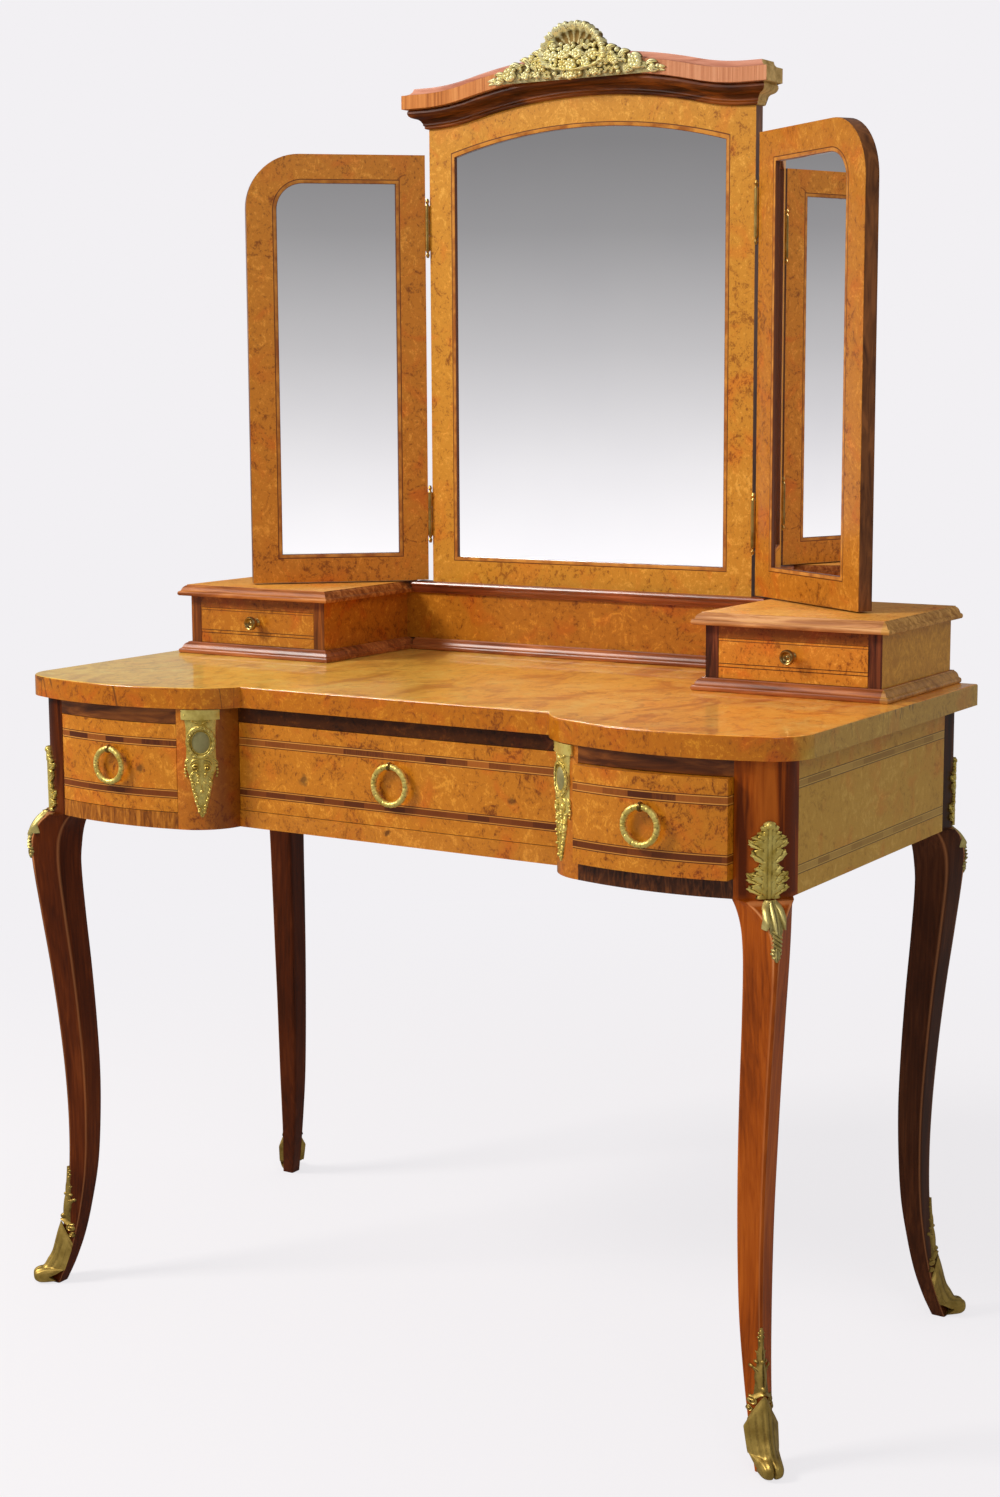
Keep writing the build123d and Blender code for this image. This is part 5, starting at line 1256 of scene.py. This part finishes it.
def spear():
    """What climbs the ridge above the shoe: a scrolled collar, a leaf with curled ends, a beaded spear."""
    parts = [
        strip(flowing(((-8.5, 73), (0, 78.5), (8.5, 73)), 15), 2.0, 5.4, count=7),
        leaf((0, 79), (0, 111), 7.0, 4.8, groove=0.25), leaf((0, 104), (0, 130), 4.8, 4.0, groove=0.2),
        strip(flowing(((0, 122), (0, 134), (0, 145.6)), 16), np.linspace(2.6, 1.8, 16), 3.0, count=7),
        plate(((76, 8), (88, 6.5), (100, 6), (108, 4.5), (114, 4.6), (122, 3), (132, 3.2), (140, 2.6),
               (146, 0.8)), 0.8),
        bead(0, 83, 3.6, 5.6), bead(0, 111, 2.8, 4.8),
    ]
    pair = [
        scroll(10.4, 69, 4.4, 1.0, 1.2, 1.7, 3.0, 1.2), scroll(12.6, 60.5, 2.8, 0.8, 1.0, 1.3, 2.6, 1.2),
        leaf((3, 92), (9.6, 104.5), 3.0, 3.6, 0.2), bead(9.4, 104.5, 2.0, 3.2),
        leaf((2, 112), (5.6, 121), 2.2, 2.8, 0.2), bead(5.4, 110, 1.8, 3.2),
    ]
    rows = [bead(u, v, 1.25, 2.4, count=6) for v, us in (
        (132, (-1.9, 1.9)), (134.8, (0,)), (135.4, (-3.0, 3.0)), (137.6, (-1.4, 1.4)),
        (140.2, (0, 2.4, -2.4)), (142.6, (-1.1, 1.1)), (144.9, (0,))) for u in us]
    return together(parts + rows + [both(pair)])


def plaque():
    """A pinned bar, a laurel oval round a plain boss, curls and beads, a tapering bunch of fruit and leaves.

    The oval is a cosine across and a sine upwards; the bunch is sown by chance, narrowing downwards.
    """
    oval_wide, oval_high, oval_level = 14.6, 17.2, 87
    bar = plate(((113.5, 22), (125, 22)), 3.0, tone=0.2)
    ledge = [strip(((-21.6, z), (21.6, z)), 1.1, 0.8, 2.8, count=5) for z in (114.6, 123.9)]
    back = plate(((0, 1.5), (6, 4), (18, 8), (36, 12), (48, 13.5), (54, 16.5), (62, 17.5), (84, 16.8),
                  (104, 17.2), (114, 18.5)), 1.1, tone=0.35)
    turn = np.linspace(0, FULL_TURN, 61)

    def oval(wide, high, angle):
        """A point of an oval about the middle of the boss."""
        return wide * np.cos(angle), oval_level + high * np.sin(angle)

    wreath = strip(np.stack(oval(oval_wide, oval_high, turn), -1), 3.4, 3.6, count=9)
    inner = strip(np.stack(oval(10.8, 13.2, turn), -1), 0.9, 2.4, count=5)
    laurel = []
    for hand in (-1, 1):
        for step in range(9):
            a = -0.5 * np.pi + hand * (0.22 + step * 0.33)
            b = a + hand * 0.36
            for reach in (0.91, 1.1):
                root, tip = oval(oval_wide, oval_high, a), oval(oval_wide * reach, oval_high * reach, b)
                laurel.append(leaf(root, tip, 1.7, 1.3, lift=2.9, count=8))
    side = [
        scroll(6.4, 57, 4.6, 1.2, 1.2, 1.5, 2.8, 2.2, 1.0, -1), leaf((2, 66), (12.5, 60), 3.0, 2.6, 0.2),
        bead(17.6, 60, 2.0, 2.8), bead(18.6, 55.6, 1.8, 2.6), bead(18.4, 51.6, 1.7, 2.4),
        bead(17.6, 47.8, 1.5, 2.2), leaf((12, 68), (19.4, 62), 2.2, 2.4, 0.1), bead(9.6, 112, 1.8, 3.0),
        leaf((1, 108.5), (9, 111), 2.0, 3.2), bead(17.8, 119.3, 1.5, 3.6),
    ]
    order = np.random.default_rng(5)
    bunch = []
    bunch_top = 50
    for level in np.linspace(bunch_top, 6, 14):
        wide = 1.2 + 11.5 * (level / bunch_top) ** 0.9
        for place in np.linspace(-1, 1, max(2, int(wide / 2.6))):
            u, v = place * wide + order.uniform(-0.5, 0.5), level + order.uniform(-1.4, 1.4)
            if order.uniform() < 0.5:
                bunch.append(bead(u, v, order.uniform(1.6, 2.4), order.uniform(2.6, 4.2), count=8))
            else:
                rise = order.uniform(2.2, 3.2)
                bunch.append(leaf((u * 0.6, v + 3), (u * 1.12, v - 4.5), 2.0, rise, count=9))
    low_end = [leaf((0, 10), (0, 0.3), 2.2, 2.4), bead(0, 4, 1.6, 2.6)]
    boss, boss_quads, boss_tones = bead(0, 0, 10.6, 1.6, 1.0, count=24)
    boss = boss * (1, 1.22, 1) + (0, oval_level, 0), boss_quads, np.full_like(boss_tones, 2.0)
    return together([bar, back, wreath, inner, boss, both(side)] + ledge + laurel + bunch + low_end)


def crest():
    """A ruffled shell over a mass of roses and leaves that thins out to both ends along the cornice.

    The shell is a fan: its lip rises and falls with a cosine of 22 ribs and the bowl under the lip is
    hollow.  The roses stand in four uneven rows, largest in the middle, each turned by chance.
    """
    shell_wide, shell_high, shell_low, shell_foot, tail = 46, 41.0, 15.0, 24, 124
    rise = np.array([(0, 62), (20, 58), (36, 46), (50, 33), (64, 27), (86, 20), (110, 9), (124, 4)])
    across = np.linspace(-123, 123, 90)
    height = np.interp(np.abs(across), *rise.T)
    share = np.array([0, 0, 0.08, 0.5, 0.92, 1, 1])
    lift = np.array([-1.9, 0.4, 1.0, 1.3, 1.0, 0.4, -1.9])
    v = (height - 3)[:, None] * share
    back = np.stack([np.broadcast_to(across[:, None], v.shape), v, np.broadcast_to(lift, v.shape)], -1)
    turn = round_turn(180)
    share = np.array([0.12, 0.3, 0.45, 0.55, 0.64, 0.70, 0.76, 0.82, 0.87, 0.92, 0.96, 0.99, 1.0, 1.0])
    ribs = np.cos(22 * (turn - np.pi / 2))
    bowl = (0.0, 0.60, 0.74, 0.84, 0.92, 0.97, 1.0), (4.0, 2.2, 2.6, 6.5, 10.6, 11.2, 8.0)
    lip = np.interp(share, *bowl)[:, None]
    lip = lip + 1.1 * ribs * np.clip((share - 0.5) / 0.4, 0, 1)[:, None]
    lip[-1] = -1.5
    reach = share[:, None] * (1 + 0.035 * ribs * np.clip((share - 0.8) / 0.2, 0, 1)[:, None])
    hollow = np.interp(share, (0.0, 0.6, 0.78, 0.86, 1.0), (0.8, 1.0, 0.8, 0.0, 0.1))[:, None]
    upward = np.where(np.sin(turn) > 0, shell_high, shell_low) * np.sin(turn)
    shell = capped(np.stack([shell_wide * reach * np.cos(turn), shell_foot + reach * upward, lip], -1),
                   tone=np.clip(hollow - 0.25 * ribs, 0, 1))
    order = np.random.default_rng(23)
    parts = [capped(back, tone=0.6), shell]
    for angle in np.linspace(0.03, 0.97, 17) * np.pi:
        c, s = math.cos(angle), math.sin(angle)
        inner, outer = order.uniform(0.84, 0.88), order.uniform(1.0, 1.05)
        root = shell_wide * inner * c, shell_foot + shell_high * inner * s
        tip = shell_wide * outer * c, shell_foot + (shell_high + 1) * outer * s
        parts.append(leaf(root, tip, 3.9, 3.2, order.uniform(-0.2, 0.2), 8.4, groove=0.3, count=9))
    for level, far, size, proud in (
        (6.5, 112, 5.0, 4.0), (16.5, 84, 5.8, 6.5), (27, 58, 6.2, 7.5), (36.5, 36, 5.6, 7.5),
    ):
        for u in np.arange(-far, far + 1, 1.75 * size):
            u = u + order.uniform(-2.0, 2.0)
            top = np.interp(abs(u), *rise.T)
            v = min(level + order.uniform(-2.2, 2.2), top - 4.0)
            big = size * order.uniform(0.8, 1.15) * (1 - 0.35 * abs(u) / tail)
            low = proud * (1 - 0.5 * abs(u) / tail)
            kind = order.uniform()
            if kind < 0.5:
                rise_here, petals = order.uniform(3.4, 5.0), int(order.integers(5, 8))
                parts.append(flower(u, v, big * 1.15, rise_here, petals, low, order.uniform(0, 6)))
            elif kind < 0.8:
                tilt = order.uniform(0, FULL_TURN)
                for spread in (0.0, 2.1, 4.2):
                    a = tilt + spread
                    tip = u + 1.5 * big * math.cos(a), max(1.0, v + 1.3 * big * math.sin(a))
                    parts.append(leaf((u, v), tip, 0.5 * big, 3.4, 0.2, low, groove=0.25, count=9))
            else:
                for _ in range(3):
                    spot = u + order.uniform(-3, 3), v + order.uniform(-3, 3)
                    parts.append(bead(*spot, order.uniform(1.8, 2.8), order.uniform(3.4, 5.0), low, 8))
    sprays = [
        scroll(54, 21, 6.5, 1.4, 1.3, 2.2, 4.0, 2.0, 3.0), leaf((44, 26), (58, 33), 4.2, 4.0, 0.2, 4.0),
        bead(60, 29, 3.4, 5.0, 2.5), leaf((62, 20), (76, 26), 4.0, 3.6, 0.2, 3.0),
        bead(69, 25.5, 3.0, 4.6, 2.0), leaf((76, 18), (92, 18.5), 3.6, 3.4, 0.2, 2.5),
        leaf((98, 9), (113, 11), 3.0, 3.2, 0.15, 2.0), leaf((100, 5), (116, 2), 3.0, 3.0, -0.1, 2.0),
        bead(107, 6.5, 3.6, 4.6, 1.5), bead(114, 6.2, 2.8, 3.8, 1.0),
        leaf((112, 6), (124, 4.5), 2.6, 2.6, 0.0, 0.8),
    ]
    roses = [flower(-91, 10.5, 8.2, 5.6, 6, 3.0, 0.3), flower(84, 13.5, 8.4, 5.6, 6, 3.0, 0.9)]
    circle = 7.2 * np.stack([np.cos(turn[::6]), np.sin(turn[::6])], -1)
    rims = [strip(spot + circle, 1.7, 4.6, 3.0, count=5) for spot in ((-91, 10.5), (84, 13.5))]
    return together(parts + [both(sprays)] + roses + rims)


def wreath_ring(centre, radius):
    """A ring hanging in a plane that faces the front: laurel leaves lap round it from both sides.

    The tube swells by the root of a saw with eleven teeth each side, and into four smooth bands.
    """
    turn, spin = round_turn(144), round_turn(14)
    lap = (np.abs(((turn / FULL_TURN + 0.25) % 1) * 2 - 1) * 11)[:, None] + 0.5 * (np.cos(2 * spin) > 0)
    saw = lap % 1.0
    band = np.exp(-(((turn * 4 / FULL_TURN) % 1 - 0.5) / 0.09) ** 2)[:, None]
    tube = 2.75 + (0.95 * np.sqrt(np.clip(saw, 0, 1)) - 0.15) * (1 - band) + 0.75 * band
    x = centre[0] + (radius + tube * np.cos(spin)) * np.sin(turn)[:, None]
    z = centre[2] - radius + (radius + tube * np.cos(spin)) * np.cos(turn)[:, None]
    y = centre[1] + tube * np.sin(spin)
    return sheet(np.stack([x, y, z], -1), True, True, (1 - saw) ** 2 * 0.7 * (1 - band))


corners, sides = list(LEGS), (-1, 1)
for name, part, look, stands_for in (
    ("leaf_mounts", together([laid(acanthus(), on_post(s, e, 596.0)) for s, e in corners]), "gilt",
     "acanthus_mounts"),
    ("husk_mounts", together([laid(husk(), on_ridge(s, e)) for s, e in corners]), "gilt_dull", "knee_husks"),
    ("shoes", together([p for s, e in corners for p in (hoof(s, e), laid(spear(), on_ridge(s, e)))]),
     "gilt_worn", "sabots"),
    ("stile_plaques", together([laid(plaque(), on_stile(s, 609.5)) for s in sides]), "gilt", "plaques"),
    ("shell_crest", laid(crest(), on_fascia), "gilt_pale", "crest"),
):
    make(name, part, finish[look], "root", (stands_for,), 50)
PULL_HEIGHT, PEDESTAL_MIDDLE = 684.0, 357.1
for name, x, face, radius in (
    ("left", -PEDESTAL_MIDDLE, -243.5, 19.5), ("centre", 0.0, -182.0, 21.5),
    ("right", PEDESTAL_MIDDLE, -255.5, 19.5),
):
    ring = wreath_ring((x, face - 7.5, PULL_HEIGHT), radius)
    make(f"{name}_laurel_ring", ring, finish["gilt"], f"{name}_ring",
         (f"{name}_pull_ring",), 50)


# ================================================================ room, lamps and camera
BACKDROP = (242, 240, 243)


def room():
    """A wide pale floor under a plain sky.

    What the eye and the mirrors see behind and before the table is pale; towards the front the sky darkens
    evenly from the horizon upwards, as a studio's far wall does above its lit floor.
    """
    world = bpy.data.worlds.new("studio")
    bpy.context.scene.world = world
    sky = Nodes(world)

    def greys(value, *stops):
        """Greys between stops of (place, grey), each grey as a screen shows it, a trace warm."""
        return sky.ramp(value, *((spot, (grey, grey * 0.99, grey)) for spot, grey in stops))

    def pale(colour, strength):
        """Plain light of one colour."""
        return sky.shader("ShaderNodeBackground", colour, strength)

    ray = sky.add("ShaderNodeLightPath").outputs
    parts = sky.add("ShaderNodeSeparateXYZ")
    sky.put(parts.inputs["Vector"], sky.add("ShaderNodeTexCoord").outputs["Generated"])
    height = sky.sum("ADD", sky.sum("MULTIPLY", parts.outputs["Z"], 2.0), 0.5)
    behind = sky.sum("MULTIPLY", sky.sum("SUBTRACT", parts.outputs["Y"], 0.3), 4.0, clamp=True)
    wall = greys(height, (0.35, 255), (0.4264, 236), (0.528, 195), (0.628, 153), (0.70, 132), (0.86, 120))
    sheen = sky.add("ShaderNodeMix", data_type="RGBA")
    sky.put(sheen.inputs["Factor"], behind)
    sky.put(sheen.inputs["A"], greys(height, (0.44, 110), (0.52, 128), (0.66, 118), (0.84, 100)))
    sky.put(sheen.inputs["B"], greys(height, (0.44, 110), (0.55, 176), (0.66, 176), (0.84, 110)))
    seen = sky.either(ray["Is Singular Ray"], pale(sheen.outputs["Result"], 1.0), pale(wall, 1.045))
    seen = sky.either(ray["Is Glossy Ray"], pale((255, 252, 248), 0.48), seen)
    seen = sky.either(ray["Is Camera Ray"], seen, pale(BACKDROP, 1.0))
    sky.show("ShaderNodeOutputWorld", seen)

    mesh = bpy.data.meshes.new("floor")
    far = 9.0
    mesh.from_pydata([(-far, -far, 0), (far, -far, 0), (far, far, 0), (-far, far, 0)], [], [(0, 1, 2, 3)])
    floor = bpy.data.objects.new("floor", mesh)
    bpy.context.scene.collection.objects.link(floor)
    paper = Nodes(bpy.data.materials.new("floor_paper"))

    def matt(colour):
        """Plain paper that takes light and shadow."""
        return paper.shader("ShaderNodeBsdfDiffuse", colour)

    def glow(colour, strength=1.0):
        """Plain light of one colour from the paper itself."""
        return paper.shader("ShaderNodeEmission", colour, strength)

    ray = paper.add("ShaderNodeLightPath").outputs
    near = paper.add("ShaderNodeVectorMath", operation="LENGTH")
    paper.put(near.inputs[0], paper.add("ShaderNodeTexCoord").outputs["Object"])
    fade = paper.add("ShaderNodeMapRange", interpolation_type="SMOOTHSTEP")
    for key, number in (("Value", near.outputs["Value"]), ("From Min", 0.9), ("From Max", 2.2)):
        paper.put(fade.inputs[key], number)
    lit = paper.add("ShaderNodeAddShader")
    paper.put(lit.inputs[0], matt((118, 117, 118)))
    paper.put(lit.inputs[1], glow(BACKDROP, 0.83))
    shown = paper.either(fade.outputs["Result"], lit.outputs["Shader"], glow(BACKDROP))
    shown = paper.either(ray["Is Camera Ray"], matt((222, 220, 223)), shown)
    mirrored = paper.either(ray["Is Singular Ray"], glow((120, 118, 116)), glow((252, 252, 252)))
    shown = paper.either(ray["Is Glossy Ray"], shown, mirrored)
    paper.show("ShaderNodeOutputMaterial", shown)
    mesh.materials.append(paper.owner)


def placed(name, data, across, up, back, spot):
    """A lamp or camera at a spot, turned by its own three axes."""
    holder = bpy.data.objects.new(name, data)
    holder.matrix_world = Matrix(np.column_stack([across, up, back]).tolist()).to_4x4()
    holder.location = spot
    bpy.context.scene.collection.objects.link(holder)
    return holder


def lamp(name, spot, target, width, height, power, colour):
    """A soft rectangular lamp at a spot in metres, facing a target."""
    light = bpy.data.lights.new(name, "AREA")
    light.shape = "RECTANGLE"
    light.size, light.size_y = width, height
    light.energy = power
    light.color = rgb(colour)[:3]
    spot, target = np.asarray(spot, float), np.asarray(target, float)
    back = (spot - target) / np.linalg.norm(spot - target)
    across = np.cross((0, 0, 1), back)
    across /= np.linalg.norm(across)
    placed(name, light, across, np.cross(back, across), back, spot)


def camera():
    """The view: azimuth 32.58 degrees right of the front, 8.22 degrees above level, a slight roll."""
    azimuth, height, roll = np.radians((32.580, 8.2213, -0.3317))
    level = np.cos(height)
    back = np.array([np.sin(azimuth) * level, -np.cos(azimuth) * level, np.sin(height)])
    right = np.cross(-back, (0, 0, 1))
    right /= np.linalg.norm(right)
    up = np.cross(right, -back)
    across = right * np.cos(roll) + up * np.sin(roll)
    upward = -right * np.sin(roll) + up * np.cos(roll)
    lens = bpy.data.cameras.new("view")
    lens.sensor_width = 36.0
    lens.lens = 55.83
    lens.shift_x, lens.shift_y = 0.00618, -0.01956
    lens.clip_start, lens.clip_end = 0.05, 200.0
    spot = (1.46173, -2.26740, 1.10319)
    bpy.context.scene.camera = placed("view", lens, across, upward, back, spot)


room()
lamp("window", (-2.5, -2.4, 3.3), (0, 0, 0.8), 1.1, 1.0, 150, (255, 250, 244))
lamp("fill", (2.9, -2.7, 3.1), (0, 0, 0.8), 1.6, 1.2, 20, (250, 250, 255))
camera()
bpy.context.scene.view_settings.view_transform = "Standard"
